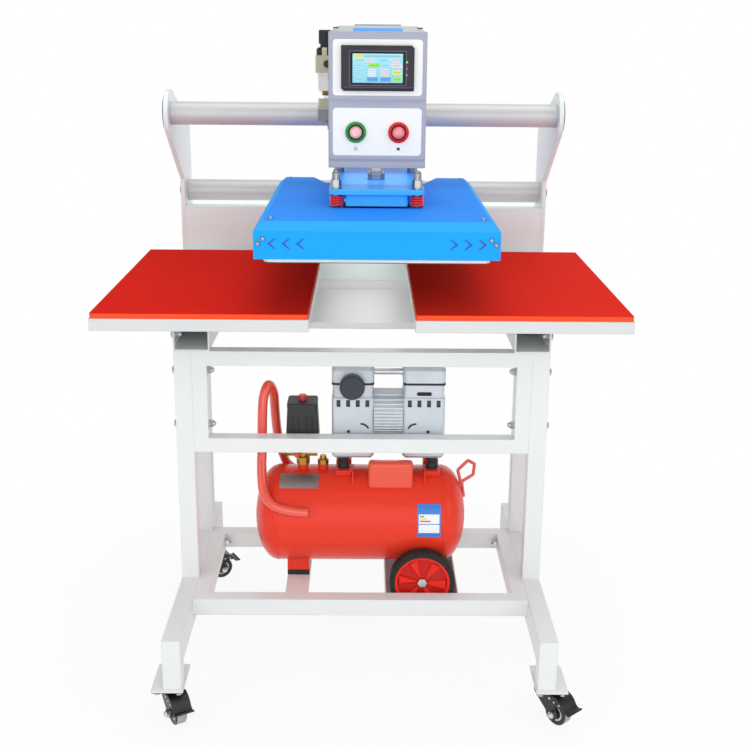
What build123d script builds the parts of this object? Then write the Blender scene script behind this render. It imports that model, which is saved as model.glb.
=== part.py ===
from build123d import *
import math
import os

# Frame: millimetres, +Z up. The operator stands on the -Y side, and +X is to the right.
# Sizes in Y are measured from the middle of the two mats. The finished pieces are moved by
# ORIGIN_Y, so that the origin is on the floor under the middle of the whole machine.
ORIGIN_Y = 3.74

# Table
MAT_WIDTH = 400
MAT_DEPTH = 600
MAT_THICKNESS = 10
MAT_TOP = 795
MAT_SPACING = 600          # from the middle of one mat to the middle of the other
TRAY_RIM = 2
TRAY_HEIGHT = 23
TRAY_SHEET = 3

# Stand
STAND_HALF_WIDTH = 375
LEG = 35
TUBE_WALL = 2
FRAME_TUBE = 30
FRONT_LEG_Y = -155
REAR_LEG_Y = 70
FOOT_FRONT_Y = -406
FOOT_REAR_Y = 230
FOOT_HEIGHT = 58
FOOT_TOP = 185
STUB_HEIGHT = 45
WELD_PLATE = 4
TOP_FRAME_HEIGHT = 214
SHELF_FRONT_Y = -246
SHELF_REAR_Y = 88
SHELF_TUBE_HEIGHT = 35
SHELF_RAIL_X = -132
SHELF_RAIL_WIDTH = 45
BOLT_DIA = 8
BOLT_CLEARANCE = 0.4

# Rails and back of the machine
RAIL_WIDTH = 72
RAIL_HEIGHT = 81
RAIL_WALL = 3
PAN_TOP = 696
PAN_FRONT_Y = 17
PAN_SHEET = 2.5
PAN_STEP = 20
BEAM_FRONT_Y = 335
BEAM_DEPTH = 34
BEAM_HEIGHT = 176
BEAM_SHEET = 3

# Guide: side plates and shafts
PLATE_INNER_X = 420
PLATE_THICKNESS = 10
PLATE_REAR_Y = 443
SHAFT_DIA = 50
UPPER_SHAFT_Y = 196
UPPER_SHAFT_RISE = 73      # from the underside of the arm
LOWER_SHAFT_Y = 395
LOWER_SHAFT_Z = 923
LOBE_RADIUS = 51
END_DISC_DIA = 80
END_DISC_THICKNESS = 4
BUSH_WALL = 3
BUSH_LENGTH = 60
SHAFT_CLEARANCE = 0.05

# Head, placed at its rest offset from the middle of the machine
HEAD_X = 26
HEAD_WIDTH = 187
BOX_FRONT_Y = -115
BOX_REAR_Y = 92
BOX_HEIGHT = 254
BOX_SHEET = 2
CHEEK_HALF_WIDTH = 90
CHEEK_THICKNESS = 10
ARM_HEADROOM = 42          # from the floating plate to the arm
ARM_ABOVE_BOX_BOTTOM = 5
ARM_THICKNESS = 16
CYLINDER_SIZE = 114
CYLINDER_BORE_DIA = 104
CYLINDER_HEADROOM = 41     # from the cylinder to the inside of the box's roof
ROD_DIA = 25
ROD_CLEARANCE = 0.05

# Front of the box
PANEL_WIDTH = 170
LOWER_PANEL_RISE = 24      # from the bottom of the box
LOWER_PANEL_HEIGHT = 90
UPPER_PANEL_DROP = 13      # from the top of the box
UPPER_PANEL_HEIGHT = 104
PANEL_THICKNESS = 2
PANEL_CORNER = 7
COMPUTER_WIDTH = 138
COMPUTER_HEIGHT = 84
COMPUTER_DEPTH = 9
COMPUTER_DROP = 66         # from the top of the box to the middle of the touch panel
SCREEN_WIDTH = 95
SCREEN_HEIGHT = 53.9
BUTTON_SPACING = 82
BUTTON_RISE = 68           # from the bottom of the box to the buttons
RING_DIA = 40
RING_HEIGHT = 7
BUTTON_DIA = 26
BUTTON_STROKE = 4
BUTTON_CLEARANCE = 0.4

# Filter regulator, left of the box and behind it
REGULATOR_X = -106         # from the middle of the head
REGULATOR_Y = 118
REGULATOR_BODY = 43
REGULATOR_NECK = 23        # from the body to the underside of the knob
BOWL_HEIGHT = 54

# Press
PRESS_OPENING = 97         # from the mats to the platen when the press is open
PRESS_PLATE_THICKNESS = 10
SPRING_LENGTH = 26
PRESS_PLATE_FRONT_Y = -154
PRESS_PLATE_REAR_Y = 190
STUD_X = 78                # from the middle of the head
STUD_FRONT_Y = -138
STUD_REAR_Y = 114
STUD_DIA = 12
STUD_CLEARANCE = 0.1
SPRING_WIRE = 4
SPRING_OUTER_DIA = 26
SPRING_TURNS = 4.5
FLOAT_GAP = 3
COVER_HALF_WIDTH = 221
COVER_HALF_DEPTH = 320
COVER_HEIGHT = 66
COVER_ABOVE_PLATEN_BOTTOM = 10
COVER_CHAMFER_SIDE = 16.5
COVER_CHAMFER_FRONT = 23
COVER_CHAMFER_HEIGHT = 15
COVER_SHEET = 2
PLATEN_WIDTH = 410
PLATEN_DEPTH = 606
PLATEN_THICKNESS = 25
NOTCH_FRONT_HALF = 111
NOTCH_REAR_HALF = 150
NOTCH_FRONT_Y = 205

# Casters
CASTER_HEIGHT = 78
CASTER_PLATE_LENGTH = 94
CASTER_PLATE_WIDTH = 61
CASTER_OFFSET = 10         # outwards from the middle of the foot tube
WHEEL_DIA = 50
WHEEL_WIDTH = 24
WHEEL_AXLE_DIA = 8
WHEEL_TRAIL = 28
KINGPIN_DIA = 12
FORK_SHEET = 2.5
FORK_GAP = 2
RUNNING_GAP = 0.3
PIVOT_CLEARANCE = 0.05
CROWN_DROP = 7.3           # from the top of the caster to the top of its fork
CROWN_HEIGHT = 5
PEDAL_PIVOT = (20, 57)     # forward of the swivel axis, and above the floor
PEDAL_EAR = 2
PEDAL_SHEET = 2.5
LEFT_CASTER_ANGLE = -60    # the way each front caster trails, from +X towards +Y
RIGHT_CASTER_ANGLE = -50
REAR_CASTER_ANGLE = 30

# Compressor on the shelf
TANK_DIA = 200
TANK_LENGTH = 442
TANK_WALL = 3
TANK_X = -2
TANK_Y = -88
TANK_Z = 307
TANK_SEAM = 172            # from the middle of the tank
AIR_WHEEL_DIA = 134
AIR_WHEEL_WIDTH = 30
AIR_WHEEL_X = 126
AIR_WHEEL_Z = 205
AIR_WHEEL_OUTER_Y = 126    # from the middle of the tank to the wheel's outer face
AIR_HUB_DIA = 112
AXLE_BOLT_DIA = 12
HANDLE_TUBE = 20
LOOP_ROD = 7
FOOT_PAD = 12
MOUNT_HEIGHT = 26
PUMP_BOTTOM = 440
PUMP_TOP = 652
GASKET_Z = 602
CRANKCASE_TOP = 568
PUMP_HEAD_WIDTH = 87
PUMP_DEPTH = 90
PUMP_Y = -73
MOTOR_DIA = 96
MOTOR_Z = 528
FIN_THICKNESS = 3
PUMP_LEFT_X = -62
PUMP_RIGHT_X = 171
FILTER_Z = 600
SWITCH_X = -123
SWITCH_BOTTOM = 478
SWITCH_TOP = 558

# Worked-out places
TRAY_TOP = MAT_TOP - MAT_THICKNESS
TRAY_BOTTOM = TRAY_TOP - TRAY_HEIGHT
RAIL_TOP = TRAY_BOTTOM
RAIL_BOTTOM = RAIL_TOP - RAIL_HEIGHT
LEG_TOP = RAIL_BOTTOM
FOOT_BOTTOM = FOOT_TOP - FOOT_HEIGHT
STUB_BOTTOM = FOOT_BOTTOM - STUB_HEIGHT
BEAM_BOTTOM = PAN_TOP + PAN_STEP
BEAM_TOP = BEAM_BOTTOM + BEAM_HEIGHT
SHELF_BOTTOM = FOOT_TOP - SHELF_TUBE_HEIGHT
INNER_STAND_X = STAND_HALF_WIDTH - LEG
PLATE_OUTER_X = PLATE_INNER_X + PLATE_THICKNESS
TROUGH_FLOOR = AIR_WHEEL_Z - AIR_WHEEL_DIA / 2 - RUNNING_GAP
PLATEN_BOTTOM = MAT_TOP + PRESS_OPENING
COVER_BOTTOM = PLATEN_BOTTOM + COVER_ABOVE_PLATEN_BOTTOM
COVER_TOP = COVER_BOTTOM + COVER_HEIGHT
PRESS_PLATE_BOTTOM = COVER_TOP + SPRING_LENGTH
PRESS_PLATE_TOP = PRESS_PLATE_BOTTOM + PRESS_PLATE_THICKNESS
ARM_BOTTOM = PRESS_PLATE_TOP + ARM_HEADROOM
UPPER_SHAFT_Z = ARM_BOTTOM + UPPER_SHAFT_RISE
BOX_BOTTOM = ARM_BOTTOM - ARM_ABOVE_BOX_BOTTOM
BOX_TOP = BOX_BOTTOM + BOX_HEIGHT
LOWER_PANEL_BOTTOM = BOX_BOTTOM + LOWER_PANEL_RISE
LOWER_PANEL_TOP = LOWER_PANEL_BOTTOM + LOWER_PANEL_HEIGHT
UPPER_PANEL_TOP = BOX_TOP - UPPER_PANEL_DROP
UPPER_PANEL_BOTTOM = UPPER_PANEL_TOP - UPPER_PANEL_HEIGHT
COMPUTER_Z = BOX_TOP - COMPUTER_DROP
BUTTON_Z = BOX_BOTTOM + BUTTON_RISE
CYLINDER_HEIGHT = BOX_TOP - BOX_SHEET - CYLINDER_HEADROOM - ARM_BOTTOM - ARM_THICKNESS
REGULATOR_BASE = UPPER_SHAFT_Z + 38


def block(x, y, z):
    """A box from its three (low, high) spans."""
    size = (x[1] - x[0], y[1] - y[0], z[1] - z[0])
    middle = ((x[0] + x[1]) / 2, (y[0] + y[1]) / 2, (z[0] + z[1]) / 2)
    return Pos(*middle) * Box(*size)


def rod_x(x, y, z, dia):
    """A round bar along X over the span x."""
    return Pos((x[0] + x[1]) / 2, y, z) * Rot(0, 90, 0) * Cylinder(dia / 2, x[1] - x[0])


def rod_y(x, y, z, dia):
    """A round bar along Y over the span y."""
    return Pos(x, (y[0] + y[1]) / 2, z) * Rot(90, 0, 0) * Cylinder(dia / 2, y[1] - y[0])


def rod_z(x, y, z, dia):
    """A round bar along Z over the span z."""
    return Pos(x, y, (z[0] + z[1]) / 2) * Cylinder(dia / 2, z[1] - z[0])


def tube_x(x, y, z, wall=TUBE_WALL):
    """An open square tube along X."""
    inside = block((x[0] - 1, x[1] + 1), (y[0] + wall, y[1] - wall), (z[0] + wall, z[1] - wall))
    return block(x, y, z) - inside


def tube_y(x, y, z, wall=TUBE_WALL):
    """An open square tube along Y."""
    inside = block((x[0] + wall, x[1] - wall), (y[0] - 1, y[1] + 1), (z[0] + wall, z[1] - wall))
    return block(x, y, z) - inside


def hex_x(x, y, z, across):
    """A hexagonal bar along X, measured across its flats."""
    outline = RegularPolygon(across / math.sqrt(3), 6)
    bar = extrude(Plane.YZ * outline, x[1] - x[0])
    return Pos(x[0], y, z) * bar


def hex_z(x, y, z, across):
    """A hexagonal bar along Z, measured across its flats."""
    bar = extrude(RegularPolygon(across / math.sqrt(3), 6), z[1] - z[0])
    return Pos(x, y, z[0]) * bar


def mirrored(shape):
    """The same shape on the other side of the machine."""
    return mirror(shape, Plane.YZ)


def group(*shapes):
    """Separate solids that share one node."""
    return Compound([solid for shape in shapes for solid in shape.solids()])


# Stand

def side_frame():
    """Right-hand welded frame: foot tube, two legs, a stub and a weld plate at each end."""
    x = (INNER_STAND_X, STAND_HALF_WIDTH)
    wall = TUBE_WALL
    hollow_x = (x[0] + wall, x[1] - wall)
    frame = block(x, (FOOT_FRONT_Y, FOOT_REAR_Y), (FOOT_BOTTOM, FOOT_TOP))
    for leg_y in (FRONT_LEG_Y, REAR_LEG_Y):
        frame += block(x, (leg_y, leg_y + LEG), (FOOT_TOP, LEG_TOP))
    frame -= block(hollow_x, (FOOT_FRONT_Y + wall, FOOT_REAR_Y - wall),
                   (FOOT_BOTTOM + wall, FOOT_TOP - wall))
    # The legs are open into the foot tube, and the rails close them at the top.
    for leg_y in (FRONT_LEG_Y, REAR_LEG_Y):
        frame -= block(hollow_x, (leg_y + wall, leg_y + LEG - wall),
                       (FOOT_TOP - wall - 1, LEG_TOP + 1))
    for stub_y in (FOOT_FRONT_Y, FOOT_REAR_Y - LEG):
        frame += block(x, (stub_y, stub_y + LEG), (STUB_BOTTOM, FOOT_BOTTOM))
    for centre_y in caster_rows():
        centre_x = caster_column()
        plate = block(
            (centre_x - CASTER_PLATE_WIDTH / 2, centre_x + CASTER_PLATE_WIDTH / 2),
            (centre_y - CASTER_PLATE_LENGTH / 2, centre_y + CASTER_PLATE_LENGTH / 2),
            (STUB_BOTTOM - WELD_PLATE, STUB_BOTTOM),
        )
        frame += plate
    return frame - bolt_holes()


def caster_column():
    """X of the casters on the right: the plates stand out past the foot tubes."""
    return STAND_HALF_WIDTH - LEG / 2 + CASTER_OFFSET


def caster_rows():
    """Y of the front and rear casters: the plates start just outside the stubs."""
    margin = 6
    front = FOOT_FRONT_Y - margin + CASTER_PLATE_LENGTH / 2
    rear = FOOT_REAR_Y + margin - CASTER_PLATE_LENGTH / 2
    return front, rear


def side_frames():
    right = side_frame()
    return group(right, mirrored(right))


def top_front_frame():
    """Welded rectangle of square tube, bolted between the front legs."""
    x = INNER_STAND_X
    y = (FRONT_LEG_Y, FRONT_LEG_Y + FRAME_TUBE)
    low = LEG_TOP - TOP_FRAME_HEIGHT
    frame = block((-x, x), y, (low, LEG_TOP))
    frame -= block((-x + FRAME_TUBE, x - FRAME_TUBE), (y[0] - 1, y[1] + 1),
                   (low + FRAME_TUBE, LEG_TOP - FRAME_TUBE))
    # The cross tubes run through to the legs, which close their open ends.
    wall = TUBE_WALL
    for tube_low in (low, LEG_TOP - FRAME_TUBE):
        frame -= block((-x - 1, x + 1), (y[0] + wall, y[1] - wall),
                       (tube_low + wall, tube_low + FRAME_TUBE - wall))
    for end in (-1, 1):
        post_x = sorted((end * (x - wall), end * (x - FRAME_TUBE + wall)))
        frame -= block(post_x, (y[0] + wall, y[1] - wall), (low + wall, LEG_TOP - wall))
    return frame - both_sides(bolt_holes())


def shelf_frame():
    """Tube rectangle with a rail and a sheet trough for the compressor.

    It is welded to the feet at its front corners and bolted to them at its rear ones.
    """
    x = INNER_STAND_X
    wall = TUBE_WALL
    z = (SHELF_BOTTOM, FOOT_TOP)
    outer = block((-x, x), (SHELF_FRONT_Y, SHELF_REAR_Y), z)
    opening_y = (SHELF_FRONT_Y + FRAME_TUBE, SHELF_REAR_Y - FRAME_TUBE)
    frame = outer - block((-x + FRAME_TUBE, x - FRAME_TUBE), opening_y, (z[0] - 1, z[1] + 1))
    for low_y in (SHELF_FRONT_Y, SHELF_REAR_Y - FRAME_TUBE):
        frame -= block((-x - 1, x + 1), (low_y + wall, low_y + FRAME_TUBE - wall),
                       (z[0] + wall, z[1] - wall))
    for end in (-1, 1):
        side_x = sorted((end * (x - wall), end * (x - FRAME_TUBE + wall)))
        frame -= block(side_x, (SHELF_FRONT_Y + wall, SHELF_REAR_Y - wall),
                       (z[0] + wall, z[1] - wall))
    rail_x = (SHELF_RAIL_X - SHELF_RAIL_WIDTH / 2, SHELF_RAIL_X + SHELF_RAIL_WIDTH / 2)
    frame += tube_y(rail_x, opening_y, (z[1] - FRAME_TUBE, z[1]))
    # The trough hangs between the cross tubes, with its floor under the compressor's wheels.
    margin = 8
    half = AIR_WHEEL_DIA / 2 + margin
    trough_x = (AIR_WHEEL_X - half, AIR_WHEEL_X + half)
    trough = block(trough_x, opening_y, (TROUGH_FLOOR - PAN_SHEET, z[1] - 5))
    trough -= block((trough_x[0] + PAN_SHEET, trough_x[1] - PAN_SHEET),
                    (opening_y[0] - 1, opening_y[1] + 1), (TROUGH_FLOOR, z[1]))
    return frame + trough - both_sides(bolt_holes())


# Casters

def caster_angle(side, row):
    """The way a caster trails at rest, in degrees from +X towards +Y."""
    if row == 1:
        return REAR_CASTER_ANGLE
    return LEFT_CASTER_ANGLE if side < 0 else RIGHT_CASTER_ANGLE


def caster_place(side, row):
    """Where a caster's swivel axis meets the floor, turned the way it trails."""
    return Pos(side * caster_column(), caster_rows()[row], 0) * Rot(0, 0, caster_angle(side, row))


def caster_top_plate(side, row):
    """Fixed plate with the upper ball race and the kingpin; it doesn't swivel."""
    top = CASTER_HEIGHT
    plate = Pos(0, 0, top - 1.25) * Box(CASTER_PLATE_WIDTH - 1, CASTER_PLATE_LENGTH - 4, 2.5)
    race = Pos(0, 0, top - 4.5) * Cylinder(22, 5)
    crown_bottom = top - CROWN_DROP - CROWN_HEIGHT
    pin = rod_z(0, 0, (crown_bottom - 4, top - 4), KINGPIN_DIA)
    rivet = rod_z(0, 0, (crown_bottom - 5, crown_bottom - RUNNING_GAP), KINGPIN_DIA + 8)
    bolts = Part()
    for dx in (-21, 21):
        for dy in (-36, 36):
            bolts += hex_z(dx, dy, (top - 8, top - 2), 11)
    place = Pos(side * caster_column(), caster_rows()[row], 0)
    return place * (plate + race + pin + rivet + bolts)


def fork_profile():
    """Side view of a fork leg: from the crown down and back to the axle."""
    crown_front = -22
    crown_rear = 24
    lobe = 11
    axle_z = WHEEL_DIA / 2
    crown_z = CASTER_HEIGHT - CROWN_DROP - CROWN_HEIGHT
    crown = Pos((crown_front + crown_rear) / 2, crown_z) * Rectangle(crown_rear - crown_front, 5)
    knee = Pos(crown_front + 7, 56) * Circle(6)
    axle_boss = Pos(WHEEL_TRAIL, axle_z) * Circle(lobe)
    return make_face(make_hull([*crown.edges(), *knee.edges(), *axle_boss.edges()]))


def caster_fork(side, row):
    """Pressed steel fork with its crown, wheel axle and the pedal's pivot pin."""
    inner = WHEEL_WIDTH / 2 + FORK_GAP
    crown_top = CASTER_HEIGHT - CROWN_DROP
    crown_bottom = crown_top - CROWN_HEIGHT
    crown = rod_z(0, 0, (crown_bottom, crown_top), 46)
    crown += block((-22, 24), (-inner - FORK_SHEET, inner + FORK_SHEET),
                   (crown_bottom, crown_bottom + FORK_SHEET))
    leg = extrude(Plane.XZ * fork_profile(), FORK_SHEET)
    fork = crown + Pos(0, -inner, 0) * leg + Pos(0, inner + FORK_SHEET, 0) * leg
    fork -= rod_z(0, 0, (50, CASTER_HEIGHT), KINGPIN_DIA + 2 * PIVOT_CLEARANCE)
    reach = inner + FORK_SHEET
    axle_z = WHEEL_DIA / 2
    axle = rod_y(WHEEL_TRAIL, (-reach - 5, reach + 5), axle_z, WHEEL_AXLE_DIA)
    for end in (-1, 1):
        span = sorted((end * reach, end * (reach + 6)))
        axle += Pos(WHEEL_TRAIL, 0, axle_z) * Rot(0, 0, 90) * hex_x(span, 0, 0, 13)
        axle += Pos(WHEEL_TRAIL, end * (reach + 5), axle_z) * Sphere(5.8)
    pin = rod_y(PEDAL_PIVOT[0], (-reach - 3, reach + 3), PEDAL_PIVOT[1], 5)
    return caster_place(side, row) * (fork + axle + pin)


def caster_wheel(side, row):
    """Moulded wheel: wide tread, a recess in each face and a raised hub."""
    radius = WHEEL_DIA / 2
    half = WHEEL_WIDTH / 2
    bore = WHEEL_AXLE_DIA / 2 + PIVOT_CLEARANCE
    outline = Polyline([
        (bore, -half), (9, -half), (10, -half + 3), (16, -half + 3), (17.5, -half + 1),
        (radius - 2, -half + 1), (radius, -half + 3), (radius, half - 3), (radius - 2, half - 1),
        (17.5, half - 1), (16, half - 3), (10, half - 3), (9, half), (bore, half),
    ], close=True)
    wheel = revolve(Plane.XZ * make_face(outline), Axis.Z)
    return caster_place(side, row) * Pos(WHEEL_TRAIL, 0, radius) * Rot(90, 0, 0) * wheel


def pedal_line(offset):
    """Side view of the pedal's sheet: out from the crown, down past the wheel, and out again."""
    x, z = PEDAL_PIVOT
    return Spline(
        (x + 7, z + 8.5 - offset),
        (x + 20 - offset * 0.6, z + 5.5 - offset * 0.8),
        (x + 31 - offset, z - 3 - offset * 0.4),
        (x + 37 - offset * 0.7, z - 11.5 - offset * 0.8),
        (x + 48, z - 14 - offset),
    )


def caster_pedal(side, row):
    """Brake pedal: a curved pad with two ears outside the fork and a tip that flares out."""
    inner = WHEEL_WIDTH / 2 + FORK_GAP + FORK_SHEET + RUNNING_GAP
    outer = inner + PEDAL_EAR
    x, z = PEDAL_PIVOT
    upper = pedal_line(0)
    lower = pedal_line(PEDAL_SHEET)
    pad_outline = [upper, lower, Line(upper @ 0, lower @ 0), Line(upper @ 1, lower @ 1)]
    pad = extrude(Plane.XZ * make_face(pad_outline), 2 * outer)
    pad = Pos(0, outer, 0) * pad
    tip = rod_y(x + 48, (-outer - 1, outer + 1), z - 15.2, 4)
    ear_outline = make_hull([
        *(Pos(x, z) * Circle(6)).edges(),
        *(Pos(x + 22, z + 0.5) * Circle(3.5)).edges(),
        *(Pos(x + 31, z - 8) * Circle(2)).edges(),
    ])
    ear = extrude(Plane.XZ * make_face(ear_outline), PEDAL_EAR)
    pedal = pad + tip + Pos(0, -inner, 0) * ear + Pos(0, outer, 0) * ear
    pedal -= rod_y(x, (-outer - 1, outer + 1), z, 5 + 2 * PIVOT_CLEARANCE)
    return caster_place(side, row) * pedal


# Table

def rail(side):
    """Rectangular tube on the legs, open to the front, that carries a tray."""
    x = sorted((side * STAND_HALF_WIDTH, side * (STAND_HALF_WIDTH - RAIL_WIDTH)))
    tube = tube_y(x, (FRONT_LEG_Y, BEAM_FRONT_Y), (RAIL_BOTTOM, RAIL_TOP), RAIL_WALL)
    return tube - both_sides(bolt_holes())


def base_pan():
    """Folded sheet between the rails: front lip, flat floor, and a step under the back beam."""
    half = STAND_HALF_WIDTH - RAIL_WIDTH
    lip = block((-half, half), (PAN_FRONT_Y, PAN_FRONT_Y + PAN_SHEET), (PAN_TOP - 14, PAN_TOP))
    floor = block((-half, half), (PAN_FRONT_Y, BEAM_FRONT_Y), (PAN_TOP - PAN_SHEET, PAN_TOP))
    riser = block((-half, half), (BEAM_FRONT_Y - PAN_SHEET, BEAM_FRONT_Y), (PAN_TOP, BEAM_BOTTOM))
    shelf = block((-half, half), (BEAM_FRONT_Y - PAN_SHEET, BEAM_FRONT_Y + BEAM_DEPTH),
                  (BEAM_BOTTOM - PAN_SHEET, BEAM_BOTTOM))
    return lip + floor + riser + shelf


def back_beam():
    """Folded channel between the side plates, with top and bottom flanges and a return lip."""
    x = (-PLATE_INNER_X, PLATE_INNER_X)
    y = (BEAM_FRONT_Y, BEAM_FRONT_Y + BEAM_DEPTH)
    beam = block(x, y, (BEAM_BOTTOM, BEAM_TOP))
    beam -= block((x[0] - 1, x[1] + 1), (y[0] + BEAM_SHEET, y[1] - BEAM_SHEET),
                  (BEAM_BOTTOM + BEAM_SHEET, BEAM_TOP - BEAM_SHEET))
    lip = 18
    beam -= block((x[0] - 1, x[1] + 1), (y[1] - BEAM_SHEET - 1, y[1] + 1),
                  (BEAM_BOTTOM + lip, BEAM_TOP - lip))
    return beam


def tray(side):
    """Sheet tray under a mat: flat top, and a rim folded down all round."""
    centre = side * MAT_SPACING / 2
    half_x = MAT_WIDTH / 2 + TRAY_RIM
    half_y = MAT_DEPTH / 2 + TRAY_RIM
    body = block((centre - half_x, centre + half_x), (-half_y, half_y), (TRAY_BOTTOM, TRAY_TOP))
    body = fillet(body.edges().filter_by(Axis.Z), 3)
    inside = block((centre - half_x + TRAY_SHEET, centre + half_x - TRAY_SHEET),
                   (-half_y + TRAY_SHEET, half_y - TRAY_SHEET),
                   (TRAY_BOTTOM - 1, TRAY_TOP - TRAY_SHEET))
    # Two ribs inside carry the tray on its rail.
    ribs = Part()
    for rib_y in (FRONT_LEG_Y + 20, BEAM_FRONT_Y - 85):
        ribs += block((centre - half_x + TRAY_SHEET, centre + half_x - TRAY_SHEET),
                      (rib_y - 15, rib_y + 15), (TRAY_BOTTOM, TRAY_TOP - TRAY_SHEET))
    return body - inside + ribs


def mat(side):
    """Silicone foam mat, laid on its tray."""
    centre = side * MAT_SPACING / 2
    pad = block((centre - MAT_WIDTH / 2, centre + MAT_WIDTH / 2), (-MAT_DEPTH / 2, MAT_DEPTH / 2),
                (TRAY_TOP, MAT_TOP))
    return fillet(pad.edges().filter_by(Axis.Z), 3)


# Guide

def side_plate(side):
    """Steel plate: a straight foot behind the table and a lobe that reaches forward."""
    front = BEAM_FRONT_Y
    lobe = Pos(UPPER_SHAFT_Y, UPPER_SHAFT_Z) * Circle(LOBE_RADIUS)
    knee = Pos(PLATE_REAR_Y - 34, UPPER_SHAFT_Z - 68) * Circle(34)
    waist = Pos(front + 30, LOWER_SHAFT_Z + 50) * Circle(30)
    upper = make_face(make_hull([*lobe.edges(), *knee.edges(), *waist.edges()]))
    straight = Pos((front + PLATE_REAR_Y) / 2, (BEAM_BOTTOM + UPPER_SHAFT_Z - 68) / 2) * Rectangle(
        PLATE_REAR_Y - front, UPPER_SHAFT_Z - 68 - BEAM_BOTTOM)
    plate = extrude(Plane.YZ * (upper + straight), PLATE_THICKNESS)
    plate -= rod_x((-5, PLATE_THICKNESS + 5), UPPER_SHAFT_Y, UPPER_SHAFT_Z, 14)
    plate -= rod_x((-5, PLATE_THICKNESS + 5), LOWER_SHAFT_Y, LOWER_SHAFT_Z, 14)
    placed = Pos(PLATE_INNER_X, 0, 0) * plate
    return placed if side > 0 else mirrored(placed)


def shaft(y, z):
    """Ground steel guide shaft between the side plates, tapped at both ends."""
    half = PLATE_INNER_X
    bar = rod_x((-half, half), y, z, SHAFT_DIA)
    bar = chamfer(bar.edges(), 1)
    for end in (-1, 1):
        span = sorted((end * (half - 30), end * (half + 1)))
        bar -= rod_x(span, y, z, 10.2)
    return bar


def shaft_end_discs():
    """Black disc over each end of the upper shaft, and the screws that hold both shafts."""
    disc = rod_x((PLATE_OUTER_X, PLATE_OUTER_X + END_DISC_THICKNESS), UPPER_SHAFT_Y,
                 UPPER_SHAFT_Z, END_DISC_DIA)
    disc = fillet(disc.edges().sort_by(Axis.X)[-1:], 2)
    upper = rod_x((PLATE_INNER_X - 25, PLATE_OUTER_X + 1), UPPER_SHAFT_Y, UPPER_SHAFT_Z, 10)
    lower = rod_x((PLATE_INNER_X - 25, PLATE_OUTER_X + 1), LOWER_SHAFT_Y, LOWER_SHAFT_Z, 10)
    washer = rod_x((PLATE_OUTER_X, PLATE_OUTER_X + 3), LOWER_SHAFT_Y, LOWER_SHAFT_Z, 30)
    head = hex_x((PLATE_OUTER_X + 3, PLATE_OUTER_X + 10), LOWER_SHAFT_Y, LOWER_SHAFT_Z, 17)
    right = group(disc + upper, lower + washer + head)
    return group(right, mirrored(right))


def acorn_bolt_x(inner, outer, y, z):
    """Bolt across a joint along X: head outside, washer and acorn nut inside."""
    shank = rod_x((inner - 6, outer + 1), y, z, BOLT_DIA)
    head = hex_x((outer, outer + 5.5), y, z, 13)
    nut = hex_x((inner - 8, inner), y, z, 13)
    washer = rod_x((inner - 1.5, inner), y, z, 18)
    dome = Pos(inner - 8, y, z) * Sphere(5.8)
    return shank + head + nut + washer + dome


def bolt_places():
    """Joints on the right-hand side: X of the inner face, Y and Z of each bolt."""
    frame_x = INNER_STAND_X - FRAME_TUBE
    leg_y = FRONT_LEG_Y + LEG / 2
    places = [(frame_x, leg_y, z) for z in (LEG_TOP - 44, LEG_TOP - 158)]
    shelf_z = (SHELF_BOTTOM + FOOT_TOP) / 2
    places.append((frame_x, SHELF_REAR_Y - FRAME_TUBE - 13, shelf_z))
    rail_x = STAND_HALF_WIDTH - RAIL_WALL
    places += [(rail_x, y, RAIL_BOTTOM + 30) for y in (leg_y, REAR_LEG_Y + LEG / 2)]
    return places


def bolt_holes():
    """The drilled holes of the right-hand bolts."""
    holes = Part()
    for inner, y, z in bolt_places():
        holes += rod_x((inner - 1, STAND_HALF_WIDTH + 1), y, z, BOLT_DIA + BOLT_CLEARANCE)
    return holes


def both_sides(shape):
    """A right-hand shape together with its mirror image."""
    return shape + mirrored(shape)


def stand_bolts():
    """Bolts of the stand: top frame, shelf frame and rails, all alike."""
    right = group(*[acorn_bolt_x(x, STAND_HALF_WIDTH, y, z) for x, y, z in bolt_places()])
    return group(right, mirrored(right))


# Head

def head_block(x, y, z):
    """A box whose X span is measured from the middle of the head."""
    return block((HEAD_X + x[0], HEAD_X + x[1]), y, z)


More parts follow.
